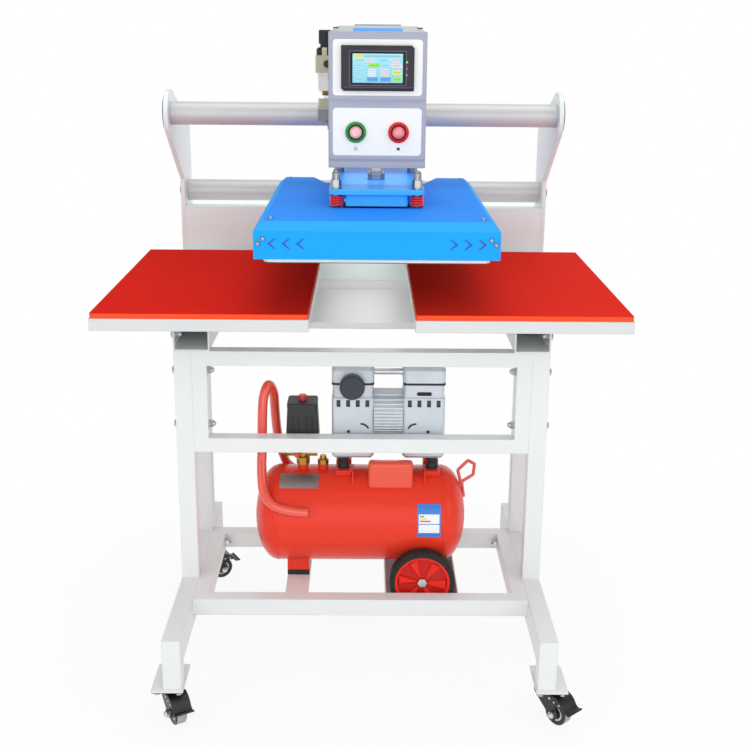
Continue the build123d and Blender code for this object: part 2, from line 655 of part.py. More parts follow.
def head_carriage():
    """Welded carriage: two bearing tubes, two cheeks, an arm over the press and a bracket."""
    bore = SHAFT_DIA + 2 * BUSH_WALL
    tube_dia = bore + 16
    half = CHEEK_HALF_WIDTH
    upper = Pos(UPPER_SHAFT_Y, UPPER_SHAFT_Z)
    lower = Pos(LOWER_SHAFT_Y, LOWER_SHAFT_Z)
    arm_top = ARM_BOTTOM + ARM_THICKNESS
    swing = make_hull([
        *(upper * Circle(tube_dia / 2)).edges(),
        *(lower * Circle(tube_dia / 2)).edges(),
    ])
    throat = make_hull([
        *(upper * Circle(tube_dia / 2)).edges(),
        *(Pos(20, arm_top + 25) * Circle(40)).edges(),
    ])
    profile = make_face(swing) + make_face(throat)
    profile -= Pos(0, ARM_BOTTOM - 60) * Rectangle(260, 120)
    cheek = extrude(Plane.YZ * profile, CHEEK_THICKNESS)
    left_cheek = Pos(HEAD_X - half, 0, 0) * cheek
    right_cheek = Pos(HEAD_X + half - CHEEK_THICKNESS, 0, 0) * cheek
    carriage = left_cheek + right_cheek
    carriage += rod_x((HEAD_X - half, HEAD_X + half), UPPER_SHAFT_Y, UPPER_SHAFT_Z, tube_dia)
    carriage += rod_x((HEAD_X - half, HEAD_X + half), LOWER_SHAFT_Y, LOWER_SHAFT_Z, tube_dia)
    # The arm is as wide as the inside of the box, which is screwed to its edges.
    seat = HEAD_WIDTH / 2 - BOX_SHEET
    carriage += head_block((-seat, seat), (-68, BOX_REAR_Y - 4), (ARM_BOTTOM, arm_top))
    carriage += head_block((-half, half), (BOX_REAR_Y - 5, UPPER_SHAFT_Y - 30), (ARM_BOTTOM, arm_top))
    # The bracket for the filter regulator stands out on the left, in front of the upper tube.
    bracket_y = (REGULATOR_Y - 14, REGULATOR_Y + 20)
    bracket_z = (UPPER_SHAFT_Z - 7, UPPER_SHAFT_Z + 23)
    carriage += head_block((REGULATOR_X - 17, -half + 1), bracket_y, bracket_z)
    span = (HEAD_X - half - 1, HEAD_X + half + 1)
    for y, z in ((UPPER_SHAFT_Y, UPPER_SHAFT_Z), (LOWER_SHAFT_Y, LOWER_SHAFT_Z)):
        carriage -= rod_x(span, y, z, SHAFT_DIA + 2)
        for end in (-1, 1):
            seat = sorted((HEAD_X + end * half, HEAD_X + end * (half - BUSH_LENGTH)))
            carriage -= rod_x(seat, y, z, bore)
    rod_hole = ROD_DIA + 20
    carriage -= rod_z(HEAD_X, 0, (ARM_BOTTOM - 1, arm_top + 1), rod_hole)
    return carriage


def carriage_bushes():
    """Four flanged bronze bushes pressed into the ends of the bearing tubes."""
    bushes = []
    for y, z in ((UPPER_SHAFT_Y, UPPER_SHAFT_Z), (LOWER_SHAFT_Y, LOWER_SHAFT_Z)):
        for end in (-1, 1):
            outer = HEAD_X + end * CHEEK_HALF_WIDTH
            inner = HEAD_X + end * (CHEEK_HALF_WIDTH - BUSH_LENGTH)
            lip = outer + end * 3
            bush = rod_x(sorted((inner, outer)), y, z, SHAFT_DIA + 2 * BUSH_WALL)
            bush += rod_x(sorted((outer, lip)), y, z, SHAFT_DIA + 2 * BUSH_WALL + 8)
            bush -= rod_x(sorted((inner - end, lip + end)), y, z,
                          SHAFT_DIA + 2 * SHAFT_CLEARANCE)
            bushes.append(bush)
    return group(*bushes)


def air_cylinder():
    """Tie-rod air cylinder: two square end caps, a barrel, four rods and two ports."""
    low = ARM_BOTTOM + ARM_THICKNESS
    high = low + CYLINDER_HEIGHT
    half = CYLINDER_SIZE / 2
    cap = 28
    body = Part()
    for z in ((low, low + cap), (high - cap, high)):
        end_cap = head_block((-half, half), (-half, half), z)
        body += chamfer(end_cap.edges().filter_by(Axis.Z), 4)
    body += rod_z(HEAD_X, 0, (low + 1, high - 1), CYLINDER_BORE_DIA)
    rod_place = half - 11
    for dx in (-rod_place, rod_place):
        for dy in (-rod_place, rod_place):
            body += rod_z(HEAD_X + dx, dy, (low + 1, high + 8), 10)
    for port_z in (low + cap / 2, high - cap / 2):
        body += rod_y(HEAD_X, (half - 1, half + 10), port_z, 18)
    # The barrel is open inside down to the gland, so that the piston rod can travel.
    body -= rod_z(HEAD_X, 0, (low + cap - 6, high - 8), CYLINDER_BORE_DIA - 10)
    body -= rod_z(HEAD_X, 0, (low - 1, low + cap), ROD_DIA + 2 * ROD_CLEARANCE)
    return body


def rounded_panel(width, z, y, thickness):
    """A plate with rounded corners that faces the operator, its front at y."""
    outline = RectangleRounded(width, z[1] - z[0], PANEL_CORNER)
    plate = extrude(Plane.XZ * outline, thickness)
    return Pos(HEAD_X, y + thickness, (z[0] + z[1]) / 2) * plate


def control_box():
    """Folded sheet shell round the cylinder, with a seat for each front panel and a crease."""
    half = HEAD_WIDTH / 2
    shell = head_block((-half, half), (BOX_FRONT_Y, BOX_REAR_Y), (BOX_BOTTOM, BOX_TOP))
    shell = fillet(shell.edges().filter_by(Axis.Z).group_by(Axis.Y)[0], 4)
    inside = head_block((-half + BOX_SHEET, half - BOX_SHEET),
                        (BOX_FRONT_Y + PANEL_THICKNESS + BOX_SHEET, BOX_REAR_Y + 1),
                        (BOX_BOTTOM - 1, BOX_TOP - BOX_SHEET))
    shell -= inside
    # A crease crosses the front between the two panels, and a second one below them.
    for low, high in ((LOWER_PANEL_TOP + 6, UPPER_PANEL_BOTTOM - 6),
                      (BOX_BOTTOM + 6, LOWER_PANEL_BOTTOM - 6)):
        middle = (low + high) / 2
        notch = make_face(Polyline([
            (BOX_FRONT_Y - 0.1, low), (BOX_FRONT_Y + 2.2, middle), (BOX_FRONT_Y - 0.1, high),
        ], close=True))
        cut = extrude(Plane.YZ * notch, HEAD_WIDTH + 2)
        shell -= Pos(HEAD_X - half - 1, 0, 0) * cut
    for z in ((UPPER_PANEL_BOTTOM, UPPER_PANEL_TOP), (LOWER_PANEL_BOTTOM, LOWER_PANEL_TOP)):
        shell -= rounded_panel(PANEL_WIDTH + 0.2, z, BOX_FRONT_Y, PANEL_THICKNESS)
    for side in (-1, 1):
        x = HEAD_X + side * BUTTON_SPACING / 2
        shell -= rod_y(x, (BOX_FRONT_Y - 1, BOX_FRONT_Y + 20), BUTTON_Z, BUTTON_DIA + 6)
    return shell


def front_panels():
    """Two white panels with rounded corners, let into the front of the box."""
    upper = rounded_panel(PANEL_WIDTH, (UPPER_PANEL_BOTTOM, UPPER_PANEL_TOP), BOX_FRONT_Y,
                          PANEL_THICKNESS)
    lower = rounded_panel(PANEL_WIDTH, (LOWER_PANEL_BOTTOM, LOWER_PANEL_TOP), BOX_FRONT_Y,
                          PANEL_THICKNESS)
    for side in (-1, 1):
        x = HEAD_X + side * BUTTON_SPACING / 2
        lower -= rod_y(x, (BOX_FRONT_Y - 1, BOX_FRONT_Y + 10), BUTTON_Z, BUTTON_DIA + 6)
    return group(upper, lower)


def box_top_cover():
    """Shallow lid: its sides slope in all round, with a raised rectangle and four screws."""
    half = HEAD_WIDTH / 2
    depth = BOX_REAR_Y - BOX_FRONT_Y
    middle_y = (BOX_REAR_Y + BOX_FRONT_Y) / 2
    slope = 21
    base = Plane.XY.offset(BOX_TOP) * Pos(HEAD_X, middle_y) * Rectangle(2 * half - 2, depth - 2)
    top = Plane.XY.offset(BOX_TOP + 11) * Pos(HEAD_X, middle_y) * Rectangle(
        2 * (half - slope), depth - 2 * slope)
    lid = loft([base, top])
    field = (-half + 49, half - 49)
    lid += head_block(field, (middle_y - depth * 0.29, middle_y + depth * 0.24), (BOX_TOP + 8, BOX_TOP + 14))
    for side in (-1, 1):
        for y in (BOX_FRONT_Y + 12, BOX_REAR_Y - 12):
            lid += Pos(HEAD_X + side * (half - 13), y, BOX_TOP + 5) * Cylinder(4, 7)
    return lid


def panel_computer():
    """Touch-panel bezel: a thin frame round a stepped face, two corners cut, three lamps."""
    y = BOX_FRONT_Y
    half = COMPUTER_WIDTH / 2
    body = head_block((-half, half), (y - COMPUTER_DEPTH, y),
                      (COMPUTER_Z - COMPUTER_HEIGHT / 2, COMPUTER_Z + COMPUTER_HEIGHT / 2))
    long_edges = body.edges().filter_by(Axis.Y)
    top_right = long_edges.sort_by(lambda edge: edge.center().X + edge.center().Z)[-1]
    bottom_left = long_edges.sort_by(lambda edge: edge.center().X + edge.center().Z)[0]
    body = chamfer([top_right, bottom_left], 9)
    body = chamfer(body.faces().sort_by(Axis.Y)[0].edges(), 1.5)
    body -= head_block((-SCREEN_WIDTH / 2 - 0.2, SCREEN_WIDTH / 2 + 0.2), (y - COMPUTER_DEPTH - 1, y - 7),
                       (COMPUTER_Z - SCREEN_HEIGHT / 2 - 0.2, COMPUTER_Z + SCREEN_HEIGHT / 2 + 0.2))
    for step in (-1, 0, 1):
        body += rod_y(HEAD_X + half - 14, (y - COMPUTER_DEPTH - 0.6, y - COMPUTER_DEPTH + 1),
                      COMPUTER_Z + 7 + 12 * step, 3)
    return body


def touch_screen():
    """Flat glass of the touch panel, set in its bezel."""
    y = BOX_FRONT_Y
    return head_block((-SCREEN_WIDTH / 2, SCREEN_WIDTH / 2), (y - COMPUTER_DEPTH + 1, y - 7),
                      (COMPUTER_Z - SCREEN_HEIGHT / 2, COMPUTER_Z + SCREEN_HEIGHT / 2))


def button_ring(side):
    """Round collar of a push button, screwed through the panel."""
    x = HEAD_X + side * BUTTON_SPACING / 2
    y = BOX_FRONT_Y
    ring = rod_y(x, (y - RING_HEIGHT, y), BUTTON_Z, RING_DIA)
    ring = chamfer(ring.faces().sort_by(Axis.Y)[0].edges(), 2.5)
    ring += rod_y(x, (y - 1, y + 26), BUTTON_Z, BUTTON_DIA + 5.6)
    return ring - rod_y(x, (y - RING_HEIGHT - 1, y + 22), BUTTON_Z,
                        BUTTON_DIA + 2 * BUTTON_CLEARANCE)


def button_rings():
    return group(button_ring(-1), button_ring(1))


def push_button(side):
    """Domed button cap on a short stem that slides in its collar."""
    x = HEAD_X + side * BUTTON_SPACING / 2
    front = BOX_FRONT_Y - RING_HEIGHT - 2
    cap = rod_y(x, (front, BOX_FRONT_Y + 10), BUTTON_Z, BUTTON_DIA)
    return fillet(cap.faces().sort_by(Axis.Y)[0].edges(), 2.2)


def regulator_body():
    """Filter regulator: body with ports and plug, bonnet, connector block and its elbow."""
    x = HEAD_X + REGULATOR_X
    y = REGULATOR_Y
    half = REGULATOR_BODY / 2
    low = REGULATOR_BASE + BOWL_HEIGHT
    high = low + 35
    port_z = low + 18
    body = block((x - half, x + half), (y - half + 2, y + half - 2), (low, high))
    body = fillet(body.edges().filter_by(Axis.Z), 5)
    bonnet = rod_z(x, y, (high, high + 16), 40)
    bonnet = chamfer(bonnet.faces().sort_by(Axis.Z)[-1].edges(), 4)
    neck = rod_z(x, y, (high + 14, high + REGULATOR_NECK), 24)
    plug = rod_y(x + 3, (y - half - 1, y - half + 4), port_z, 15)
    port = rod_x((x + half - 1, x + half + 7), y, port_z, 16)
    elbow = rod_z(x + 6, y - half - 1, (high - 8, high + 6), 9)
    elbow += rod_y(x + 6, (y - half - 4, y - half + 6), high - 6, 10)
    bracket_low = UPPER_SHAFT_Z - 7
    bracket_high = UPPER_SHAFT_Z + 23
    seat = block((x - 16, x + 15), (y - 14, y + 14), (bracket_high, REGULATOR_BASE))
    seat = fillet(seat.edges().filter_by(Axis.Z), 4)
    fitting = rod_z(x + 8, y - 4, (bracket_low - 18, bracket_low), 10)
    fitting += hex_z(x + 8, y - 4, (bracket_low - 6, bracket_low), 14)
    return group(body + bonnet + neck + plug + port + elbow, seat, fitting)


def filter_bowl():
    """Clear bowl under the regulator, open inside, with its drain nub."""
    x = HEAD_X + REGULATOR_X
    y = REGULATOR_Y
    top = BOWL_HEIGHT
    outline = Polyline([
        (0, 0), (5, 0), (5, 9), (14, 13), (17.5, 19), (17.5, top - 7), (19, top - 5),
        (19, top), (15.5, top), (15.5, 21), (12, 16), (0, 16),
    ], close=True)
    bowl = revolve(Plane.XZ * make_face(outline), Axis.Z)
    return Pos(x, y, REGULATOR_BASE) * bowl


def regulator_knob():
    """Black pressure knob with grip ribs, turned to set the pressure."""
    x = HEAD_X + REGULATOR_X
    y = REGULATOR_Y
    low = REGULATOR_BASE + BOWL_HEIGHT + 35 + REGULATOR_NECK + RUNNING_GAP
    knob = rod_z(x, y, (low, low + 28), 30)
    knob = fillet(knob.faces().sort_by(Axis.Z)[-1].edges(), 2)
    for turn in range(16):
        angle = math.radians(turn * 360 / 16)
        groove_x = x + 15.6 * math.cos(angle)
        groove_y = y + 15.6 * math.sin(angle)
        knob -= rod_z(groove_x, groove_y, (low - 1, low + 23), 2.6)
    return knob


# Press

def piston_rod():
    """Chromed piston rod with its piston, shoulder washer and lock nut on the floating plate."""
    piston_z = ARM_BOTTOM + ARM_THICKNESS + CYLINDER_HEIGHT - 8 - 2
    piston = rod_z(HEAD_X, 0, (piston_z - 22, piston_z), CYLINDER_BORE_DIA - 10.6)
    rod = rod_z(HEAD_X, 0, (PRESS_PLATE_TOP, piston_z - 10), ROD_DIA)
    washer = rod_z(HEAD_X, 0, (PRESS_PLATE_TOP, PRESS_PLATE_TOP + 3), 36)
    nut = hex_z(HEAD_X, 0, (PRESS_PLATE_TOP + 3, PRESS_PLATE_TOP + 15), 30)
    lock = hex_z(HEAD_X, 0, (PRESS_PLATE_TOP + 17, PRESS_PLATE_TOP + 27), 30)
    return piston + rod + washer + nut + lock


def stud_places():
    """The four studs, from the middle of the head."""
    return [(x, y) for x in (-STUD_X, STUD_X) for y in (STUD_FRONT_Y, STUD_REAR_Y)]


def floating_plate():
    """Thick plate under the piston rod, rounded, with a bevelled rim and a pressure block."""
    half = 92
    depth = (PRESS_PLATE_FRONT_Y, PRESS_PLATE_REAR_Y)
    plate = head_block((-half, half), depth, (PRESS_PLATE_BOTTOM, PRESS_PLATE_TOP))
    plate = fillet(plate.edges().filter_by(Axis.Z), 14)
    plate = chamfer(plate.faces().sort_by(Axis.Z)[-1].edges(), 2)
    pad = head_block((-60, 60), (STUD_FRONT_Y - 8, STUD_REAR_Y + 10),
                     (COVER_TOP + FLOAT_GAP, PRESS_PLATE_BOTTOM))
    pad = fillet(pad.edges().filter_by(Axis.Z), 6)
    plate += pad
    for x, y in stud_places():
        plate -= rod_z(HEAD_X + x, y, (COVER_TOP, PRESS_PLATE_TOP + 1),
                       STUD_DIA + 2 * STUD_CLEARANCE)
    return plate


def guide_studs():
    """Four studs with their sleeves and acorn nuts; they hang the platen on the plate."""
    studs = []
    for x, y in stud_places():
        px = HEAD_X + x
        top = PRESS_PLATE_TOP + RUNNING_GAP
        stud = rod_z(px, y, (PLATEN_BOTTOM + PLATEN_THICKNESS, top + 20), STUD_DIA)
        sleeve = rod_z(px, y, (top, top + 3), 22)
        nut = hex_z(px, y, (top + 3, top + 17), 18)
        dome = Pos(px, y, top + 22) * Cylinder(8, 10) + Pos(px, y, top + 27) * Sphere(8)
        studs.append(stud + sleeve + nut + dome)
    return group(*studs)


def press_spring(x, y, low, high):
    """One round-wire compression spring, an unbroken helix between the plate and the cover."""
    radius = (SPRING_OUTER_DIA - SPRING_WIRE) / 2
    rise = high - low - SPRING_WIRE
    pitch = rise / SPRING_TURNS
    path = Helix(pitch, rise, radius)
    section = Plane(origin=path @ 0, z_dir=path % 0) * Circle(SPRING_WIRE / 2)
    wire = sweep(section, path=path, is_frenet=True)
    return Pos(HEAD_X + x, y, low + SPRING_WIRE / 2) * wire


def spring_gap():
    """Least gap between neighbouring turns, measured on points along the wire."""
    radius = (SPRING_OUTER_DIA - SPRING_WIRE) / 2
    low = COVER_TOP + RUNNING_GAP
    high = PRESS_PLATE_BOTTOM - RUNNING_GAP
    pitch = (high - low - SPRING_WIRE) / SPRING_TURNS
    steps = 90
    points = []
    for step in range(int(steps * SPRING_TURNS) + 1):
        angle = 2 * math.pi * step / steps
        points.append((radius * math.cos(angle), radius * math.sin(angle), pitch * step / steps))
    least = 1e9
    for i, a in enumerate(points):
        for b in points[i + steps // 2:]:
            least = min(least, math.dist(a, b))
    return least - SPRING_WIRE


def platen_springs():
    """The four red springs round the studs."""
    low = COVER_TOP + RUNNING_GAP
    high = PRESS_PLATE_BOTTOM - RUNNING_GAP
    return group(*[press_spring(x, y, low, high) for x, y in stud_places()])


def cover_outline(z, half_x, half_y):
    return Plane.XY.offset(z) * Pos(HEAD_X, 0) * Rectangle(2 * half_x, 2 * half_y)


def cover_solid(inset):
    """The cover's outer form, or its inside when inset by the sheet."""
    shoulder = COVER_TOP - COVER_CHAMFER_HEIGHT
    half_x = COVER_HALF_WIDTH - inset
    half_y = COVER_HALF_DEPTH - inset
    skirt = block((HEAD_X - half_x, HEAD_X + half_x), (-half_y, half_y),
                  (COVER_BOTTOM - (1 if inset else 0), shoulder - inset / 2))
    roof = loft([
        cover_outline(shoulder - inset / 2, half_x, half_y),
        cover_outline(COVER_TOP - inset, half_x - COVER_CHAMFER_SIDE, half_y - COVER_CHAMFER_FRONT),
    ])
    return skirt + roof


def head_cover():
    """Blue sheet cover with bevelled shoulders, open below and notched behind for the arm."""
    cover = cover_solid(0) - cover_solid(COVER_SHEET)
    notch = make_face(Polyline([
        (HEAD_X - NOTCH_FRONT_HALF, NOTCH_FRONT_Y), (HEAD_X + NOTCH_FRONT_HALF, NOTCH_FRONT_Y),
        (HEAD_X + NOTCH_REAR_HALF, COVER_HALF_DEPTH + 5),
        (HEAD_X - NOTCH_REAR_HALF, COVER_HALF_DEPTH + 5),
    ], close=True))
    tall = Pos(0, 0, COVER_TOP - 40) * extrude(notch, 60)
    cover -= tall
    for x, y in stud_places():
        cover -= rod_z(HEAD_X + x, y, (COVER_TOP - 10, COVER_TOP + 5), STUD_DIA + 1)
    # A window under the pressure block lets it bear on the pressure frame.
    cover -= head_block((-64, 64), (STUD_FRONT_Y - 11, STUD_REAR_Y + 14),
                        (COVER_TOP - 10, COVER_TOP + 5))
    for x, y in cover_screw_tops():
        cover -= rod_z(HEAD_X + x, y, (COVER_TOP - 10, COVER_TOP + 5), 5)
    return cover


def pressure_frame():
    """Welded frame on the platen: a thick pad under the plate and two cross bars."""
    low = PLATEN_BOTTOM + PLATEN_THICKNESS
    high = COVER_TOP - COVER_SHEET - RUNNING_GAP
    frame = head_block((-62, 62), (STUD_FRONT_Y - 9, STUD_REAR_Y + 12), (low, high))
    for y in (STUD_FRONT_Y, STUD_REAR_Y):
        frame += head_block((-180, 180), (y - 14, y + 14), (low, low + 22))
    for x, y in stud_places():
        frame -= rod_z(HEAD_X + x, y, (low - 1, high + 1), STUD_DIA + 0.1)
    # Four posts carry the sheet cover on the bars' ends.
    for x in (-172, 172):
        for y in (STUD_FRONT_Y, STUD_REAR_Y):
            frame += rod_z(HEAD_X + x, y, (low + 20, COVER_TOP - COVER_SHEET), 14)
    return frame


def heat_platen():
    """Cast aluminium heating plate with bevelled corners."""
    half_x = PLATEN_WIDTH / 2
    half_y = PLATEN_DEPTH / 2
    plate = head_block((-half_x, half_x), (-half_y, half_y),
                       (PLATEN_BOTTOM, PLATEN_BOTTOM + PLATEN_THICKNESS))
    return chamfer(plate.edges().filter_by(Axis.Z), 8)


def cover_screw_tops():
    """Places of the dome screws on the cover's top, from the middle of the head."""
    return [(x, y) for x in (-193, 193) for y in (-277, 277)]


def cover_screws():
    """Dome-headed screws: four on the top of the cover and four on its front."""
    screws = []
    for x, y in cover_screw_tops():
        head = rod_z(HEAD_X + x, y, (COVER_TOP, COVER_TOP + 3.5), 9)
        head = fillet(head.faces().sort_by(Axis.Z)[-1].edges(), 3)
        screws.append(head + rod_z(HEAD_X + x, y, (COVER_TOP - 8, COVER_TOP + 1), 4.8))
    for side in (-1, 1):
        for offset, z in ((204, 939), (213, 930)):
            head = rod_y(HEAD_X + side * offset, (-COVER_HALF_DEPTH - 3.5, -COVER_HALF_DEPTH), z, 9)
            screws.append(fillet(head.faces().sort_by(Axis.Y)[0].edges(), 3))
    return group(*screws)


# Compressor

def tank_handle():
    """Bent tube handle at the tank's left end: two arms that close to a narrow loop on top."""
    front_arm = [
        (-106, -99, 42), (-165, -97, 44), (-198, -84, 72), (-207, -50, 114),
        (-207, -25, 155), (-201, -22, 235),
    ]
    rear_arm = [(x, -y, z) for x, y, z in reversed(front_arm)]
    path = Spline(*front_arm, (-197, 0, 284), *rear_arm)
    section = Plane(origin=path @ 0, z_dir=path % 0) * Circle(HANDLE_TUBE / 2)
    tube = sweep(section, path=path)
    handle = Pos(TANK_X, TANK_Y, TANK_Z) * tube
    return group(handle - tank_shell(), tow_loop() - tank_shell())


def tow_loop():
    """A rod bent into a slanted ring, with its tail welded down the tank's right end."""
    corners = [
        (TANK_X + 196, TANK_Z + 42), (TANK_X + 212, TANK_Z + 68), (TANK_X + 205, TANK_Z + 96),
        (TANK_X + 226, TANK_Z + 118), (TANK_X + 240, TANK_Z + 110), (TANK_X + 238, TANK_Z + 86),
        (TANK_X + 214, TANK_Z + 70), (TANK_X + 219, TANK_Z + 36),
    ]
    bends = FilletPolyline(*[(x, 0, z) for x, z in corners], radius=6)
    path = Pos(0, TANK_Y, 0) * bends
    section = Plane(origin=path @ 0, z_dir=path % 0) * Circle(LOOP_ROD / 2)
    return sweep(section, path=path)


def tank_shell(inset=0):
    """Outer form of the pressure vessel, or its inside when inset by the wall."""
    radius = TANK_DIA / 2 - inset
    seam = TANK_SEAM
    dish = TANK_LENGTH / 2 - seam - inset
    body = Rot(0, 90, 0) * Cylinder(radius, 2 * seam)
    for side in (-1, 1):
        quarter = make_face([
            Line((0, 0), (0, radius)),
            EllipticalCenterArc((0, 0), dish, radius, start_angle=0, arc_size=90),
            Line((dish, 0), (0, 0)),
        ])
        end = revolve(quarter, Axis.X)
        end = end if side > 0 else mirrored(end)
        body += Pos(side * seam, 0, 0) * end
        if not inset:
            body += Pos(side * seam, 0, 0) * Rot(0, 90, 0) * Cylinder(radius + 0.8, 5)
    return Pos(TANK_X, TANK_Y, TANK_Z) * body


def air_tank():
    """Pressure tank with its foot, wheel saddle, pump brackets and threaded bosses."""
    tank = tank_shell() - tank_shell(TANK_WALL)
    foot_x = (SHELF_RAIL_X - 23, SHELF_RAIL_X + 23)
    foot = block(foot_x, (TANK_Y - 52, TANK_Y + 52), (FOOT_TOP + FOOT_PAD, TANK_Z - 60))
    foot -= block((foot_x[0] + 3, foot_x[1] - 3), (TANK_Y - 53, TANK_Y + 53),
                  (FOOT_TOP + FOOT_PAD + 3, TANK_Z))
    tank += foot
    reach = AIR_WHEEL_OUTER_Y - AIR_WHEEL_WIDTH - 4
    tank += block((AIR_WHEEL_X - 22, AIR_WHEEL_X + 22), (TANK_Y - reach, TANK_Y + reach),
                  (AIR_WHEEL_Z - 16, TANK_Z - 80))
    for mount_x in pump_mounts():
        for mount_y in pump_mount_rows():
            tank += block((mount_x - 16, mount_x + 16), (mount_y - 16, mount_y + 16),
                          (TANK_Z + 60, PUMP_BOTTOM - MOUNT_HEIGHT))
    for boss_x in (SWITCH_X, SWITCH_X + 42):
        tank += rod_z(boss_x, TANK_Y, (TANK_Z + 96, TANK_Z + 110), 22)
    for end in (-1, 1):
        seat = sorted((TANK_Y + end * (reach - 30), TANK_Y + end * (reach + 1)))
        tank -= rod_y(AIR_WHEEL_X, seat, AIR_WHEEL_Z, AXLE_BOLT_DIA)
    return tank


def pump_mounts():
    """X of the two pairs of rubber mounts."""
    return PUMP_LEFT_X + 24, PUMP_RIGHT_X - 24


def pump_mount_rows():
    """Y of the front and rear rubber mounts."""
    return PUMP_Y - 28, PUMP_Y + 28


def rubber_feet():
    """Pad under the tank's foot and four waisted rubber mounts under the pump."""
    pad = block((SHELF_RAIL_X - 23, SHELF_RAIL_X + 23), (TANK_Y - 52, TANK_Y + 52),
                (FOOT_TOP, FOOT_TOP + FOOT_PAD))
    low = PUMP_BOTTOM - MOUNT_HEIGHT
    waist = PUMP_BOTTOM - MOUNT_HEIGHT / 2
    outline = Polyline([
        (0, low), (12, low), (12, low + 6), (10, waist), (12, PUMP_BOTTOM - 6),
        (12, PUMP_BOTTOM), (0, PUMP_BOTTOM),
    ], close=True)
    mount = revolve(Plane.XZ * make_face(outline), Axis.Z)
    mounts = [Pos(x, y, 0) * mount for x in pump_mounts() for y in pump_mount_rows()]
    return group(pad, *mounts)


def pump_head(low_x, side):
    """One oil-free pump: louvred crankcase, cylinder block, gasket and a ribbed cylinder head.

    The motor is on the side given: +1 to the right of this pump, -1 to its left.
    """
    x = (low_x, low_x + PUMP_HEAD_WIDTH)
    middle_x = low_x + PUMP_HEAD_WIDTH / 2
    y = (PUMP_Y - PUMP_DEPTH / 2, PUMP_Y + PUMP_DEPTH / 2)
    case = block(x, y, (PUMP_BOTTOM, CRANKCASE_TOP))
    case = fillet(case.edges().filter_by(Axis.Z), 8)
    case = chamfer(case.faces().sort_by(Axis.Z)[0].edges(), 6)
    lip = block((x[0] + 1, x[1] - 1), (y[0] - 1, y[1] + 1), (CRANKCASE_TOP, CRANKCASE_TOP + 4))
    lip = fillet(lip.edges().filter_by(Axis.Z), 4)
    cylinder = block((x[0] + 2, x[1] - 2), (y[0] + 2, y[1] - 2), (CRANKCASE_TOP + 4, GASKET_Z - 2))
    cylinder = fillet(cylinder.edges().filter_by(Axis.Z), 8)
    gasket = block(x, (y[0] - 1, y[1] + 1), (GASKET_Z - 2, GASKET_Z + 2))
    gasket = fillet(gasket.edges().filter_by(Axis.Z), 6)
    top = block(x, y, (GASKET_Z + 2, PUMP_TOP - 22))
    top = fillet(top.edges().filter_by(Axis.Z), 10)
    # The cylinder head narrows upwards, and ribs stand on its slopes.
    shoulder = Plane.XY.offset(PUMP_TOP - 22) * Pos(middle_x, PUMP_Y) * RectangleRounded(
        PUMP_HEAD_WIDTH, PUMP_DEPTH, 10)
    crest = Plane.XY.offset(PUMP_TOP) * Pos(middle_x, PUMP_Y) * RectangleRounded(
        PUMP_HEAD_WIDTH - 34, PUMP_DEPTH - 34, 8)
    top += loft([shoulder, crest])
    ribs = 5
    for rib in range(ribs):
        rib_x = x[0] + (rib + 1) * PUMP_HEAD_WIDTH / (ribs + 1)
        top += block((rib_x - 1.5, rib_x + 1.5), (y[0] + 6, y[1] - 6), (GASKET_Z + 4, PUMP_TOP - 4))
    for bolt_x in (x[0] + 10, x[1] - 10):
        for bolt_y in (y[0] + 10, y[1] - 10):
            top += hex_z(bolt_x, bolt_y, (PUMP_TOP - 23, PUMP_TOP - 15), 10)
    windows = 4
    for window in range(windows):
        window_x = x[0] + 14 + window * (PUMP_HEAD_WIDTH - 28) / (windows - 1)
        case -= block((window_x - 4, window_x + 4), (y[0] - 1, y[0] + 5), (553, CRANKCASE_TOP + 1))
    port = Plane.XZ.offset(-y[0] + 4) * Pos(middle_x, 581) * SlotOverall(31, 8)
    cylinder -= extrude(port, 8, both=True)
    # A curved slot near the motor lets its fan draw air through the crankcase.
    arc = CenterArc((0, 0), 16, 90, -side * 62)
    slot = Plane.XZ.offset(-y[0]) * Pos(middle_x + side * 17, 500) * SlotArc(arc, 4)
    case -= extrude(slot, 4, both=True)
    case -= rod_y(middle_x - side * 9, (y[0] - 1, y[0] + 4), 499, 7)
    return case + lip + cylinder + gasket + top


def pump_heads():
    return group(pump_head(PUMP_LEFT_X, 1), pump_head(PUMP_RIGHT_X - PUMP_HEAD_WIDTH, -1))


def pump_motor():
    """Motor between the two pumps: a round stator in a case with flat lengthwise fins."""
    x = (PUMP_LEFT_X + PUMP_HEAD_WIDTH, PUMP_RIGHT_X - PUMP_HEAD_WIDTH)
    radius = MOTOR_DIA / 2
    core = radius - 5
    profile = Sketch() + Circle(core)
    fins_each_way = 6
    pitch = core / fins_each_way
    for fin in range(-fins_each_way, fins_each_way + 1):
        height = fin * pitch
        width = 2 * math.sqrt(radius ** 2 - height ** 2)
        profile += Pos(0, height) * Rectangle(width, FIN_THICKNESS)
    motor = extrude(Plane.YZ * profile, x[1] - x[0])
    return Pos(x[0], PUMP_Y, MOTOR_Z) * motor


